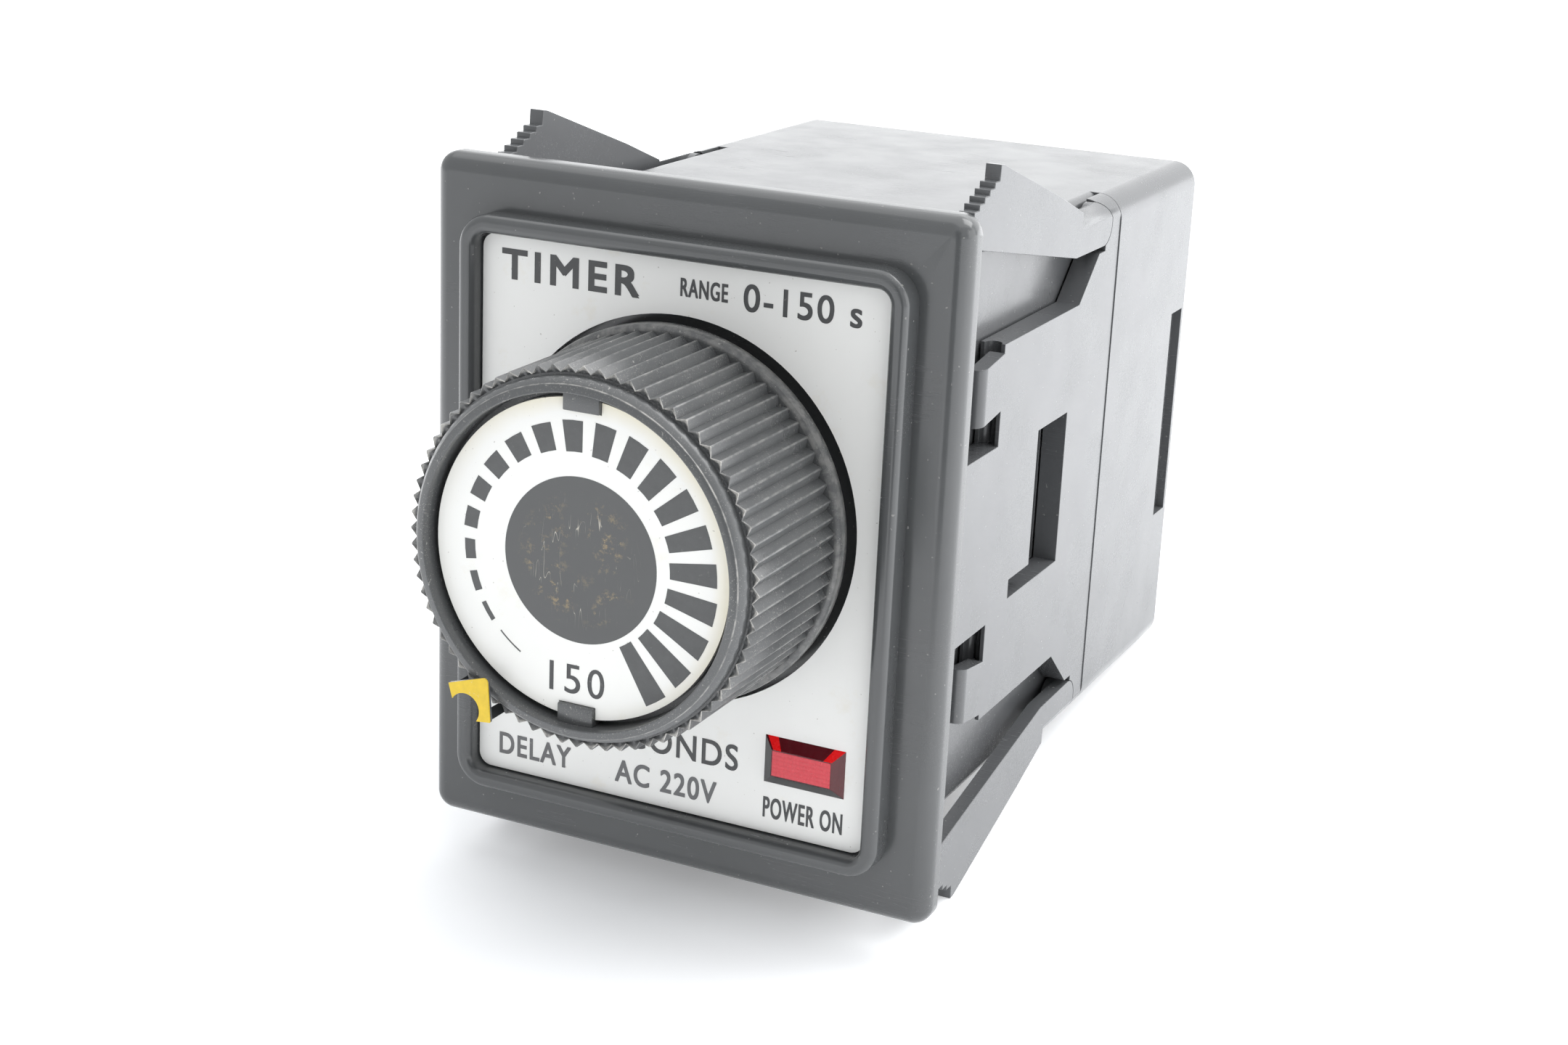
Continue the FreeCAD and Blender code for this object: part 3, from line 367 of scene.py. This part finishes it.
def red_lens(name):
    """Clear dark red acrylic, moulded with faint flow lines and a few bubbles."""
    s = Shader(name)
    s.colour(s.mix(s.noise(2.2 * MM, 3, 0.6), (0.11, 0.003, 0.008), (0.17, 0.006, 0.014)))
    s.set(IOR=1.49, Transmission_Weight=0.35)
    s.set(Roughness=s.spread(s.noise(1.2 * MM, 3), 0.3, 0.7, 0.10, 0.20))
    s.raise_by(s.noise(0.8 * MM, 2), 3e-6)
    return s.done()


def lit_acrylic(name, dark, light):
    """Red acrylic coloured bright as painted light, standing for light that comes through it."""
    s = Shader(name)
    s.colour(s.mix(s.noise(1.0 * MM, 3, 0.6), dark, light))
    s.set(IOR=1.49)
    s.set(Roughness=s.spread(s.noise(0.8 * MM, 3), 0.3, 0.7, 0.2, 0.32))
    s.raise_by(s.noise(0.5 * MM, 2), 2e-6)
    return s.done()


def glass(name):
    """Thin clear glass with a warm haze."""
    s = Shader(name)
    s.colour(s.mix(s.noise(3 * MM, 3), (0.95, 0.93, 0.90), (0.85, 0.80, 0.72)))
    s.set(IOR=1.5, Transmission_Weight=0.9)
    s.set(Roughness=s.spread(s.noise(1 * MM, 3), 0.3, 0.7, 0.03, 0.12))
    return s.done()


MATERIALS = {
    "bezel": moulded("bezel_plastic", (0.070, 0.073, 0.075), 0.20, dust=0.2),
    "case": moulded("case_plastic", (0.092, 0.095, 0.099), 0.24, grain_height=1e-6, mottle=0.05,
                    dust=0.15),
    "nameplate": painted_plate("nameplate_enamel", (0.83, 0.83, 0.81), 0.42),
    "knob": moulded("knob_plastic", (0.078, 0.081, 0.083), 0.30, grain=0.2 * MM, grain_height=3e-6,
                    wear=knob_wear),
    "scale": painted_plate("scale_enamel", (0.83, 0.83, 0.805), 0.40, edge_yellow=0.75,
                           radius=SCALE_R),
    "pointer_yellow": ink("pointer_paint", (0.66, 0.46, 0.02), wear=0.5, rough=0.42),
    "lens_red": red_lens("lens_acrylic"),
    "bulb": glass("bulb_glass"),
    "white_plastic": moulded("white_nylon", (0.72, 0.70, 0.64), 0.42),
    "black_phenolic": moulded("black_phenolic", (0.022, 0.022, 0.023), 0.34, grain=0.25 * MM,
                              mottle=0.2),
    "brown_phenolic": laminate("brown_laminate", (0.24, 0.11, 0.045), 0.5 * MM),
    "board": laminate("board_laminate", (0.42, 0.25, 0.10)),
    "brass_parts": metal("plated_brass", (0.78, 0.60, 0.30), 0.25),
    "steel": metal("zinc_plated_steel", (0.62, 0.62, 0.62), 0.32, stretch=(1, 1, 0.08)),
    "nickel_pins": metal("nickel_plate", (0.72, 0.68, 0.62), 0.20),
    "copper": windings("copper_winding", (0.70, 0.28, 0.12), 0.22 * MM),
    "tape_yellow": windings("winding_tape", (0.78, 0.58, 0.10), 1.6 * MM),
    "carbon": ink("carbon_film", (0.018, 0.018, 0.020), wear=0.1, rough=0.35),
    "silicon_steel": windings("laminations", (0.20, 0.20, 0.21), 0.5 * MM, axis=0),
    "capacitor_blue": moulded("capacitor_sleeve", (0.03, 0.09, 0.30), 0.25),
    "ceramic_body": moulded("ceramic_cement", (0.78, 0.75, 0.68), 0.75, grain=0.15 * MM,
                            grain_height=1.2e-5),
    "resistor_tan": ink("resistor_lacquer", (0.58, 0.40, 0.20), wear=0.2, rough=0.35),
    "wire_red": moulded("wire_insulation", (0.45, 0.03, 0.02), 0.4),
}
PRINT_DARK = ink("dark_ink", (0.060, 0.061, 0.063), wear=0.35)
PRINT_BARS = ink("scale_ink", (0.082, 0.084, 0.085), wear=0.12)
PRINT_WORN = ink("worn_ink", (0.130, 0.131, 0.134), wear=0.85)
DISC_PAINT = scuffed_disc("dial_centre_paint", (0.082, 0.084, 0.085))
# Painted light: the lens front coloured bright red as if light came through it
LENS_PAINTED_GLOW = lit_acrylic("lens_painted_glow_acrylic", (0.56, 0.035, 0.05), (0.66, 0.05, 0.07))
# Painted highlight: a brighter red for the lens's two glinting upper corners
LENS_PAINTED_GLINT = lit_acrylic("lens_painted_glint_acrylic", (0.80, 0.004, 0.006), (0.95, 0.01, 0.012))


# ---------- building pieces ----------

SHARP_ANGLE, SMOOTH_ANGLE, FLAT_ANGLE = math.radians(35), math.radians(32), math.radians(0.6)
KNOB_SMOOTH_ANGLE = math.radians(28)


def solid(name, bm, material):
    """Turns a bmesh into an object of one material."""
    mesh = bpy.data.meshes.new(name)
    bm.to_mesh(mesh)
    bm.free()
    mesh.materials.append(material)
    made = bpy.data.objects.new(name, mesh)
    bpy.context.scene.collection.objects.link(made)
    return made


def piece(name, bm, material, body, smooth_angle=SMOOTH_ANGLE):
    """Turns a bmesh into a smoothly shaded piece that rides on a body."""
    made = solid(name, bm, material)
    made.data.polygons.foreach_set("use_smooth", [True] * len(made.data.polygons))
    made.data.set_sharp_from_angle(angle=smooth_angle)
    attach(made, body)
    return made


def edge_angle(edge):
    return edge.calc_face_angle(0.0) if len(edge.link_faces) == 2 else 0.0


def softened(node, radius):
    """A copy of a CAD node with its sharp outer edges rounded off. It stands for the node."""
    bm = bmesh.new()
    bm.from_mesh(NODES[node].data)
    bmesh.ops.remove_doubles(bm, verts=bm.verts, dist=1e-7)
    bmesh.ops.dissolve_limit(bm, angle_limit=FLAT_ANGLE, verts=bm.verts, edges=bm.edges,
                             use_dissolve_boundaries=False)
    sharp = [edge for edge in bm.edges if edge.is_convex and edge_angle(edge) > SHARP_ANGLE]
    bmesh.ops.bevel(bm, geom=sharp, offset=radius, offset_type="OFFSET", segments=2, profile=0.5,
                    affect="EDGES", clamp_overlap=False)
    made = piece(node + "_shape", bm, MATERIALS[SLOT_OF[node]], BODY_OF[node])
    weighted = made.modifiers.new("even_faces", "WEIGHTED_NORMAL")
    weighted.keep_sharp = True
    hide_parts(node)
    return made


def absorb(bm, part):
    """Moves the whole of another bmesh into this one."""
    mesh = bpy.data.meshes.new("part")
    part.to_mesh(mesh)
    part.free()
    bm.from_mesh(mesh)
    bpy.data.meshes.remove(mesh)


def add_slab(bm, front, back):
    """Adds a closed slab between two outlines that match, anticlockwise seen from the front."""
    front = [bm.verts.new(point) for point in front]
    back = [bm.verts.new(point) for point in back]
    bm.faces.new(front)
    bm.faces.new(back[::-1])
    for i in range(len(front)):
        j = (i + 1) % len(front)
        bm.faces.new((front[j], front[i], back[i], back[j]))


def add_print(bm, outline):
    """Adds a patch of print on the scale plate. Its (x, z) outline runs as in add_slab."""
    add_slab(bm, *([(x, SCALE_Y + side * INK, z) for x, z in outline] for side in (-1, 1)))


def add_rings(bm, rings):
    """Joins rings of points, given in order, with faces. Each ring has as many points."""
    rows = [[bm.verts.new(point) for point in ring] for ring in rings]
    count = len(rows[0])
    for first, second in zip(rows, rows[1:]):
        for i in range(count):
            j = (i + 1) % count
            bm.faces.new((first[i], first[j], second[j], second[i]))
    return rows


def on_dial(radius, angle):
    """The (x, z) point at an angle in degrees, anticlockwise from +X seen from the front."""
    turn = math.radians(angle)
    return radius * math.cos(turn), DIAL_Z + radius * math.sin(turn)


def sector(inner, outer, start, end, steps):
    """The outline of part of a ring round the dial's axis."""
    angles = [start + (end - start) * i / steps for i in range(steps + 1)]
    return [on_dial(outer, a) for a in angles] + [on_dial(inner, a) for a in reversed(angles)]


# ---------- lettering ----------

# Print stands this far either side of the face it is on, and each further coat is a little higher
INK, COAT = 0.02 * MM, 0.003 * MM


def text_mesh(text, spacing):
    """Flat lettering in the XY plane, as wide and tall as the built-in font makes it."""
    curve = bpy.data.curves.new("text", "FONT")
    curve.body = text
    curve.resolution_u = 6
    curve.space_character = spacing
    holder = bpy.data.objects.new("text", curve)
    bpy.context.scene.collection.objects.link(holder)
    bpy.context.view_layer.update()
    evaluated = holder.evaluated_get(bpy.context.evaluated_depsgraph_get())
    flat = bpy.data.meshes.new_from_object(evaluated)
    bpy.data.objects.remove(holder)
    bpy.data.curves.remove(curve)
    return flat


def add_text(bm, text, box, face_y, depth=INK, spacing=1.0):
    """Adds lettering that fills a box (left, right, bottom, top), to a depth each side of a face."""
    left, right, bottom, top = box
    flat = text_mesh(text, spacing)
    xs = [v.co.x for v in flat.vertices]
    ys = [v.co.y for v in flat.vertices]
    scale_x = (right - left) / (max(xs) - min(xs))
    scale_z = (top - bottom) / (max(ys) - min(ys))
    for vertex in flat.vertices:
        x = left + (vertex.co.x - min(xs)) * scale_x
        z = bottom + (vertex.co.y - min(ys)) * scale_z
        vertex.co = (x, face_y + depth, z)
    glyphs = bmesh.new()
    glyphs.from_mesh(flat)
    bpy.data.meshes.remove(flat)
    bmesh.ops.remove_doubles(glyphs, verts=glyphs.verts, dist=1e-8)
    grown = bmesh.ops.extrude_face_region(glyphs, geom=list(glyphs.faces))
    moved = [item for item in grown["geom"] if isinstance(item, bmesh.types.BMVert)]
    bmesh.ops.translate(glyphs, vec=(0, -2 * depth, 0), verts=moved)
    bmesh.ops.recalc_face_normals(glyphs, faces=glyphs.faces)
    absorb(bm, glyphs)


def lettering(name, material, bold, spacing, lines):
    """Lines of print on the nameplate: (text, left, right, bottom, top) in millimetres.

    It is four copies set bold millimetres off the middle, each a coat of ink above the last.
    """
    bm = bmesh.new()
    shifts = [(side, rise) for side in (-bold, bold) for rise in (-bold, bold)]
    for text, left, right, bottom, top in lines:
        for coats, (side, rise) in enumerate(shifts):
            box = [(left + side) * MM, (right + side) * MM, (bottom + rise) * MM, (top + rise) * MM]
            add_text(bm, text, box, NAMEPLATE_Y - coats * COAT, spacing=spacing)
    piece(name, bm, material, "housing")


def nameplate_print():
    lettering("nameplate_title", PRINT_DARK, 0.10, 1.25, [("TIMER", -18.2, -4.2, 22.1, 24.7)])
    lettering("nameplate_range", PRINT_DARK, 0.04, 1.12, [
        ("RANGE", 0.0, 4.6, 22.8, 24.4),
        ("0-150 s", 6.2, 17.4, 22.3, 24.7),
        ("SECONDS", -7.6, 7.4, -20.7, -18.2),
        ("POWER ON", 10.2, 18.1, -24.5, -22.5)])
    lettering("nameplate_rating", PRINT_WORN, 0.05, 1.12, [
        ("DELAY", -18.0, -10.2, -24.4, -22.3),
        ("AC 220V", -5.3, 5.3, -24.5, -22.3)])


# ---------- dial ----------

# Bars on the scale plate. Angles are in degrees, and each bar reaches a step further in and out
BAR_COUNT, BAR_PITCH, BAR_SPAN, FIRST_BAR = 19, 15.0, 9.3, 214.5
BAR_MIDDLE_R, BAR_OUT_STEP, BAR_IN_STEP = 10.9 * MM, 0.133 * MM, 0.148 * MM
BAR_OUT, BAR_IN = 0.10 * MM, 0.08 * MM
LINE_HALF_WIDTH, LINE_START, LINE_END = 0.065 * MM, 225.0, 238.5
CENTRE_R, CENTRE_SIDES = 7.35 * MM, 128

# Figures, in millimetres from the dial's axis: (digit, left, right)
DIGITS = (("1", -2.75, -2.40), ("5", -1.25, 0.25), ("0", 1.0, 2.6))
DIGIT_BOTTOM, DIGIT_TOP, DIGIT_BOLD = -12.1, -9.45, 0.025


def scale_print():
    """A wedge of bars that grows with the time, a line at its start, and the range in figures."""
    bars = bmesh.new()
    for number in range(1, BAR_COUNT + 1):
        middle = FIRST_BAR - BAR_PITCH * (number - 1)
        inner = BAR_MIDDLE_R - BAR_IN - BAR_IN_STEP * number
        outer = BAR_MIDDLE_R + BAR_OUT + BAR_OUT_STEP * number
        add_print(bars, sector(inner, outer, middle - BAR_SPAN / 2, middle + BAR_SPAN / 2, 2))
    add_print(bars, sector(BAR_MIDDLE_R - LINE_HALF_WIDTH, BAR_MIDDLE_R + LINE_HALF_WIDTH,
                           LINE_START, LINE_END, 12))
    piece("scale_bars", bars, PRINT_BARS, "dial")
    figures = bmesh.new()
    for digit, left, right in DIGITS:
        for coats, shift in enumerate((-DIGIT_BOLD, DIGIT_BOLD)):
            box = ((left + shift) * MM, (right + shift) * MM,
                   DIAL_Z + DIGIT_BOTTOM * MM, DIAL_Z + DIGIT_TOP * MM)
            add_text(figures, digit, box, SCALE_Y - coats * COAT)
    piece("scale_figures", figures, PRINT_DARK, "dial")
    disc = bmesh.new()
    add_print(disc, [on_dial(CENTRE_R, 360 * i / CENTRE_SIDES) for i in range(CENTRE_SIDES)])
    piece("dial_centre", disc, DISC_PAINT, "dial")


KNURL_TEETH, KNURL_DEPTH, CREST_ROUND = 72, 0.6 * MM, 0.06
TOOTH_POINTS = (0.0, 0.05, 0.12, 0.25, 0.40, 0.47, 0.5, 0.53, 0.60, 0.75, 0.88, 0.95)
SCALE_T, WEB_T, LIP_T, HUB_STEP = 0.4 * MM, 2.0 * MM, 1.6 * MM, 3.2 * MM
TAB_HALF_W, TAB_INNER, TAB_OUTER, TAB_ROUND = 1.75 * MM, 13.0 * MM, 15.0 * MM, 0.12 * MM


def knurl_cut(phase):
    """How far inside the crest circle the surface is, at a phase of 0 to 1 round one tooth."""
    away = min(phase, 1 - phase)
    if away < CREST_ROUND:
        return KNURL_DEPTH * away * away / (2 * CREST_ROUND)
    return KNURL_DEPTH * (away - CREST_ROUND / 2) / (0.5 - CREST_ROUND / 2)


def knob_profile(ring, plain):
    """The knob's rings, from the shaft's bore, round the front and the knurl, to the bore again.

    Each plain ring is a radius and a y, with a small step in millimetres added to each.
    """
    seat, front, back = SCALE_Y + SCALE_T, KNOB_FRONT, KNOB_REAR
    web, lip, hub = seat + WEB_T, KNOB_REAR - LIP_T, KNOB_REAR - HUB_STEP
    rings = plain([
        (BORE_R, 0, seat, 0), (SCALE_SEAT_R, 0, seat, 0),
        (SCALE_SEAT_R, 0.02, seat, 0.9), (RIM_R, -0.02, seat, 0.9), (RIM_R, 0, seat, 0),
        (RIM_R, 0, front, 0.12), (RIM_R, 0.03, front, 0.04), (RIM_R, 0.12, front, 0),
        (RIM_R, 0.25, front, 0.03), (RIM_EDGE_R, -0.08, front, 0.10), (RIM_EDGE_R, 0, front, 0.16),
        (RIM_EDGE_R, 0.02, front, 0.26), (RIM_EDGE_R, 0.08, front, 0.32),
        (RIM_EDGE_R, 0.35, front, 0.60), (RIM_EDGE_R, 0.47, front, 0.85),
        (TOOTH_ROOT_R, -0.2, KNURL_FRONT, 0.20), (TOOTH_ROOT_R, 0, KNURL_FRONT, 0.22)])
    rings += [
        ring(KNURL_R - 0.16 * MM, KNURL_FRONT, 0.9),
        ring(KNURL_R - 0.05 * MM, KNURL_FRONT + 0.04 * MM, 1.0),
        ring(KNURL_R, KNURL_FRONT + 0.16 * MM, 1.0),
        ring(KNURL_R, (KNURL_FRONT + lip) / 2, 1.0), ring(KNURL_R, lip, 1.0)]
    rings += plain([
        (KNURL_R, 0.1, lip, 0), (LIP_R, -0.3, lip, 0.03), (LIP_R, -0.1, lip, 0.14),
        (LIP_R, 0, lip, 0.35), (LIP_R, 0, back, -0.25), (LIP_R, -0.08, back, -0.06),
        (LIP_R, -0.25, back, 0), (CAVITY_R, 0, back, 0), (CAVITY_R, 0, web, 0),
        (HUB_R, 0, web, 0), (HUB_R, 0, hub, 0), (BORE_R, 0, hub, 0), (BORE_R, 0, web, 0.5)])
    return rings


def knob_shape():
    """The knurled knob: a stepped rim, 72 ridges, and a plain lip against the nameplate."""
    angles, cuts = [], []
    for tooth in range(KNURL_TEETH):
        for phase in TOOTH_POINTS:
            angles.append(2 * math.pi * (tooth + phase) / KNURL_TEETH)
            cuts.append(knurl_cut(phase))

    def ring(radius, y, knurled=0.0):
        reaches = [radius - knurled * cut for cut in cuts]
        return [(r * math.cos(a), y, DIAL_Z + r * math.sin(a)) for r, a in zip(reaches, angles)]

    def plain(steps):
        return [ring(radius + out * MM, y + along * MM) for radius, out, y, along in steps]

    bm = bmesh.new()
    rows = add_rings(bm, knob_profile(ring, plain))
    bm.faces.new(rows[0][::-1])
    bm.faces.new(rows[-1])
    for side in (1, -1):
        add_tab(bm, side)
    bmesh.ops.recalc_face_normals(bm, faces=bm.faces)
    knob = piece("knob_shape", bm, MATERIALS["knob"], "dial", KNOB_SMOOTH_ANGLE)
    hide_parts("knob")


def add_block(bm, low_corner, high_corner, radius):
    """Adds a block with rounded edges."""
    block = bmesh.new()
    bmesh.ops.create_cube(block, size=1.0)
    size = [b - a for a, b in zip(low_corner, high_corner)]
    middle = [(a + b) / 2 for a, b in zip(low_corner, high_corner)]
    bmesh.ops.scale(block, vec=size, verts=block.verts)
    bmesh.ops.translate(block, vec=middle, verts=block.verts)
    bmesh.ops.bevel(block, geom=list(block.edges), offset=radius, segments=2, profile=0.5,
                    affect="EDGES")
    absorb(bm, block)


def add_tab(bm, side):
    """One of the rim's two tabs that hold the scale plate: above the axis (1) or below it (-1)."""
    inner, outer = DIAL_Z + side * TAB_INNER, DIAL_Z + side * TAB_OUTER
    add_block(bm, (-TAB_HALF_W, SCALE_Y - 0.4 * MM, min(inner, outer)),
              (TAB_HALF_W, SCALE_Y + 1.2 * MM, max(inner, outer)), TAB_ROUND)


# ---------- lamp lens ----------

LENS_FLANGE, LENS_BEVEL = 0.6 * MM, 1.0 * MM
PYRAMID_COLUMNS, PYRAMID_ROWS, PYRAMID_HEIGHT = 15, 6, 0.07 * MM
STRIP_HALF_T = Vector((0, 0.02 * MM, 0))


def lens_corners(inset, y):
    """The corners of a rectangle on the lens, anticlockwise from the lower left, from the front."""
    box_low, box_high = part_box("lens")
    margin = LENS_FLANGE + inset
    left, right = box_low.x + margin, box_high.x - margin
    bottom, top = box_low.z + margin, box_high.z - margin
    corners = ((left, bottom), (right, bottom), (right, top), (left, top))
    return [Vector((x, y, z)) for x, z in corners]


def lens_panel():
    """The lens's front, moulded with rows of tiny pyramids and coloured bright red as painted light coming through
    it.
    """
    corners = lens_corners(LENS_BEVEL + 0.1 * MM, low("lens").y - 0.01 * MM)
    across = (corners[1] - corners[0]) / PYRAMID_COLUMNS
    up = (corners[3] - corners[0]) / PYRAMID_ROWS
    peak = Vector((0, -PYRAMID_HEIGHT, 0))
    bm = bmesh.new()
    for column in range(PYRAMID_COLUMNS):
        for row in range(PYRAMID_ROWS):
            start = corners[0] + across * column + up * row
            ring = [bm.verts.new(start + step) for step in (Vector(), across, across + up, up)]
            tip = bm.verts.new(start + (across + up) / 2 + peak)
            for i in range(4):
                bm.faces.new((ring[i], ring[(i + 1) % 4], tip))
            bm.faces.new(ring[::-1])
    piece("lens_pyramids", bm, LENS_PAINTED_GLOW, "housing")


def lens_strips(name, strips, material):
    """Thin strips on the lens's bevels: (side, start, end), where side 0 is the bottom one.

    The start and end are shares of the side's length, and the sides run anticlockwise.
    """
    outer = lens_corners(0, NAMEPLATE_Y)
    inner = lens_corners(LENS_BEVEL, low("lens").y)
    bm = bmesh.new()
    for side, start, end in strips:
        after = (side + 1) % 4
        quad = [outer[side].lerp(outer[after], start), outer[side].lerp(outer[after], end),
                inner[side].lerp(inner[after], end), inner[side].lerp(inner[after], start)]
        add_slab(bm, [corner - STRIP_HALF_T for corner in quad],
                 [corner + STRIP_HALF_T for corner in quad])
    piece(name, bm, material, "housing")


def lens_edges():
    """Painted shade and highlights: dark strips on the left and lower bevels stand for shade, and the two upper
    corners are coloured bright red as painted light coming through.
    """
    # Painted shade: black strips on the left and lower bevels
    lens_strips("lens_painted_shade_edges", ((3, 0.0, 1.0), (0, 0.0, 1.0)), MATERIALS["black_phenolic"])
    # Painted highlights: bright red strips at the two upper corners
    lens_strips("lens_painted_glints", ((2, 0.0, 0.14), (2, 0.84, 0.97)), LENS_PAINTED_GLINT)


# ---------- numbers on the plug ----------

NUMBER_CIRCLE_R, NUMBER_HALF_W, NUMBER_HALF_H = 13.2 * MM, 0.6 * MM, 0.9 * MM
NUMBER_DEPTH, NUMBER_PITCH = 0.15 * MM, 45.0


def plug_numbers():
    """Raised numbers 1 to 8 on the plug base's rear face, which is at y = 0, read from the rear."""
    bm = bmesh.new()
    for number in range(1, 9):
        angle = math.radians(-90 - NUMBER_PITCH * (number - 0.5))
        u, v = NUMBER_CIRCLE_R * math.cos(angle), NUMBER_CIRCLE_R * math.sin(angle)
        box = (u - NUMBER_HALF_W, u + NUMBER_HALF_W, v - NUMBER_HALF_H, v + NUMBER_HALF_H)
        glyph = bmesh.new()
        add_text(glyph, str(number), box, 0.0, NUMBER_DEPTH)
        bmesh.ops.transform(glyph, matrix=Matrix.Rotation(math.pi, 4, "Z"), verts=glyph.verts)
        absorb(bm, glyph)
    piece("plug_numbers", bm, MATERIALS["black_phenolic"], "housing")


# ---------- dressing the frame ----------

# Radii of softened edges, and how far the adapter plates' rear edges move
SOFT_EDGES = {"bezel": 0.10 * MM, "case": 0.05 * MM, "plug_base": 0.2 * MM, "pointer": 0.06 * MM}
PLATE_SOFT_EDGE, CLIP_SOFT_EDGE, SEAM_SHIFT = 0.04 * MM, 0.08 * MM, 0.07 * MM


def dress_nodes():
    """Gives every CAD node the material of its slot."""
    for name, node in NODES.items():
        node.data.materials.clear()
        node.data.materials.append(MATERIALS[SLOT_OF[name]])


def close_seam(shape, node):
    """Moves a plate's rear edge back by most of its gap, so that a hairline is left at the case."""
    for vertex in shape.data.vertices:
        if vertex.co.y > high(node).y - 0.01 * MM:
            vertex.co.y += SEAM_SHIFT


def soften_nodes():
    """Rounds the edges of the moulded pieces that can be seen."""
    for node, radius in SOFT_EDGES.items():
        softened(node, radius)
    for node in ("adapter_plate_right", "adapter_plate_left"):
        close_seam(softened(node, PLATE_SOFT_EDGE), node)
    for node in NODES:
        if node.startswith(("clip_", "finger_")):
            softened(node, CLIP_SOFT_EDGE)


# ---------- studio ----------

TABLE_SIZE, TABLE_CELLS = 12.0, 8
CARD_FOOT = Vector((0.030, -0.295, -0.06))
CARD_ACROSS, CARD_UP = Vector((0.105, 0.035, 0)), Vector((0, 0, 0.21))
LIGHT_TARGET = Vector((0, -0.05, 0))
SOFTBOXES = (
    # name, place, width, height, radiance
    ("back_softbox", (-0.10, 0.75, 0.30), 1.8, 0.9, 0.7),
    ("overhead_softbox", (0.10, 0.15, 0.90), 1.6, 1.6, 1.0),
    ("key_softbox", (0.42, 0.30, 0.78), 0.6, 0.6, 4.0),
    ("right_softbox", (0.85, 0.10, 0.25), 0.9, 0.5, 1.6),
)
SKY_COLOUR, SKY_STRENGTH = (0.97, 0.985, 1.0, 1.0), 0.97
CAMERA_PLACE = (99.7 * MM, -273.2 * MM, 70.4 * MM)
CAMERA_TURN = (72.4, -2.5, 25.8)
CAMERA_LENS = 57.4


def table_material():
    """White paper with painted light: it glows like a light table, weakly near the object and less in front,
    brighter away from it, so the floor near the object looks shaded and the object's sides reflect the glow.
    """
    s = Shader("table_paper_painted_glow")
    s.colour(s.mix(s.noise(90 * MM, 4, 0.55), (0.83, 0.845, 0.865), (0.87, 0.88, 0.895)))
    s.set(Roughness=s.spread(s.noise(30 * MM, 3), 0.3, 0.7, 0.6, 0.75))
    s.raise_by(s.noise(0.8 * MM, 3, 0.6), 6e-6)
    x, y, _ = s.axes()
    x, y = s.plus(x, 30 * MM), s.plus(y, 70 * MM)
    # Painted light: the glow grows with distance from a point near the object, and is dimmer in front
    painted_glow = s.spread(s.length(x, y), 0.03, 0.14, 0.22, 0.90)
    s.set(Emission_Color=(1.0, 1.0, 1.0, 1.0))
    s.set(Emission_Strength=s.times(painted_glow, s.spread(y, -0.20, 0.0, 0.65, 1.0)))
    return s.done()


def table():
    """A pale table that the timer leans back on, on the lower clips' tips and the case's heel."""
    tips = [vertex.co for vertex in NODES["clip_lower_right"].data.vertices]
    tip = min(tips, key=lambda place: place.z)
    toe = Vector((0, tip.y, tip.z))
    heel = Vector((0, high("case").y, low("case").z))
    along = (heel - toe).normalized()
    across = Vector((1, 0, 0))
    offsets = [TABLE_SIZE * (i / TABLE_CELLS - 0.5) for i in range(TABLE_CELLS + 1)]
    bm = bmesh.new()
    grid = [[bm.verts.new(toe + across * u + along * v) for v in offsets] for u in offsets]
    for left, right in zip(grid, grid[1:]):
        for j in range(TABLE_CELLS):
            bm.faces.new((left[j], right[j], right[j + 1], left[j + 1]))
    solid("table", bm, table_material())


def softbox(name, place, width, height, radiance):
    """A rectangular light that faces the object. The camera sees only what it lights."""
    light = bpy.data.lights.new(name, "AREA")
    light.shape = "RECTANGLE"
    light.size, light.size_y = width, height
    light.energy = radiance * math.pi * width * height
    made = bpy.data.objects.new(name, light)
    made.location = place
    made.rotation_euler = (LIGHT_TARGET - Vector(place)).to_track_quat("-Z", "Y").to_euler()
    made.visible_camera = False
    bpy.context.scene.collection.objects.link(made)


def dark_card():
    """A dark card beside the camera, seen only in reflections, as the photographer would be."""
    bm = bmesh.new()
    steps = (Vector(), CARD_ACROSS, CARD_ACROSS + CARD_UP, CARD_UP)
    bm.faces.new([bm.verts.new(CARD_FOOT + step) for step in steps])
    s = Shader("dark_card_felt")
    s.colour(s.mix(s.noise(2 * MM, 3), (0.02, 0.02, 0.02), (0.04, 0.04, 0.04)))
    s.set(Roughness=0.9)
    made = solid("dark_card", bm, s.done())
    made.visible_camera = False


def studio_light():
    """A pale sky and four softboxes."""
    world = bpy.data.worlds.new("studio")
    bpy.context.scene.world = world
    world.use_nodes = True
    background = world.node_tree.nodes["Background"]
    background.inputs["Color"].default_value = SKY_COLOUR
    background.inputs["Strength"].default_value = SKY_STRENGTH
    for settings in SOFTBOXES:
        softbox(*settings)
    bpy.context.scene.view_settings.view_transform = "Standard"


def camera():
    """A short telephoto, slightly above and to the right of the front."""
    data = bpy.data.cameras.new("camera")
    data.lens = CAMERA_LENS
    data.clip_start, data.clip_end = 0.01, 20
    made = bpy.data.objects.new("camera", data)
    made.location = CAMERA_PLACE
    made.rotation_euler = [math.radians(turn) for turn in CAMERA_TURN]
    bpy.context.scene.collection.objects.link(made)
    bpy.context.scene.camera = made


camera()
studio_light()
table()
dark_card()
dress_nodes()
soften_nodes()
knob_shape()
scale_print()
nameplate_print()
lens_panel()
lens_edges()
plug_numbers()
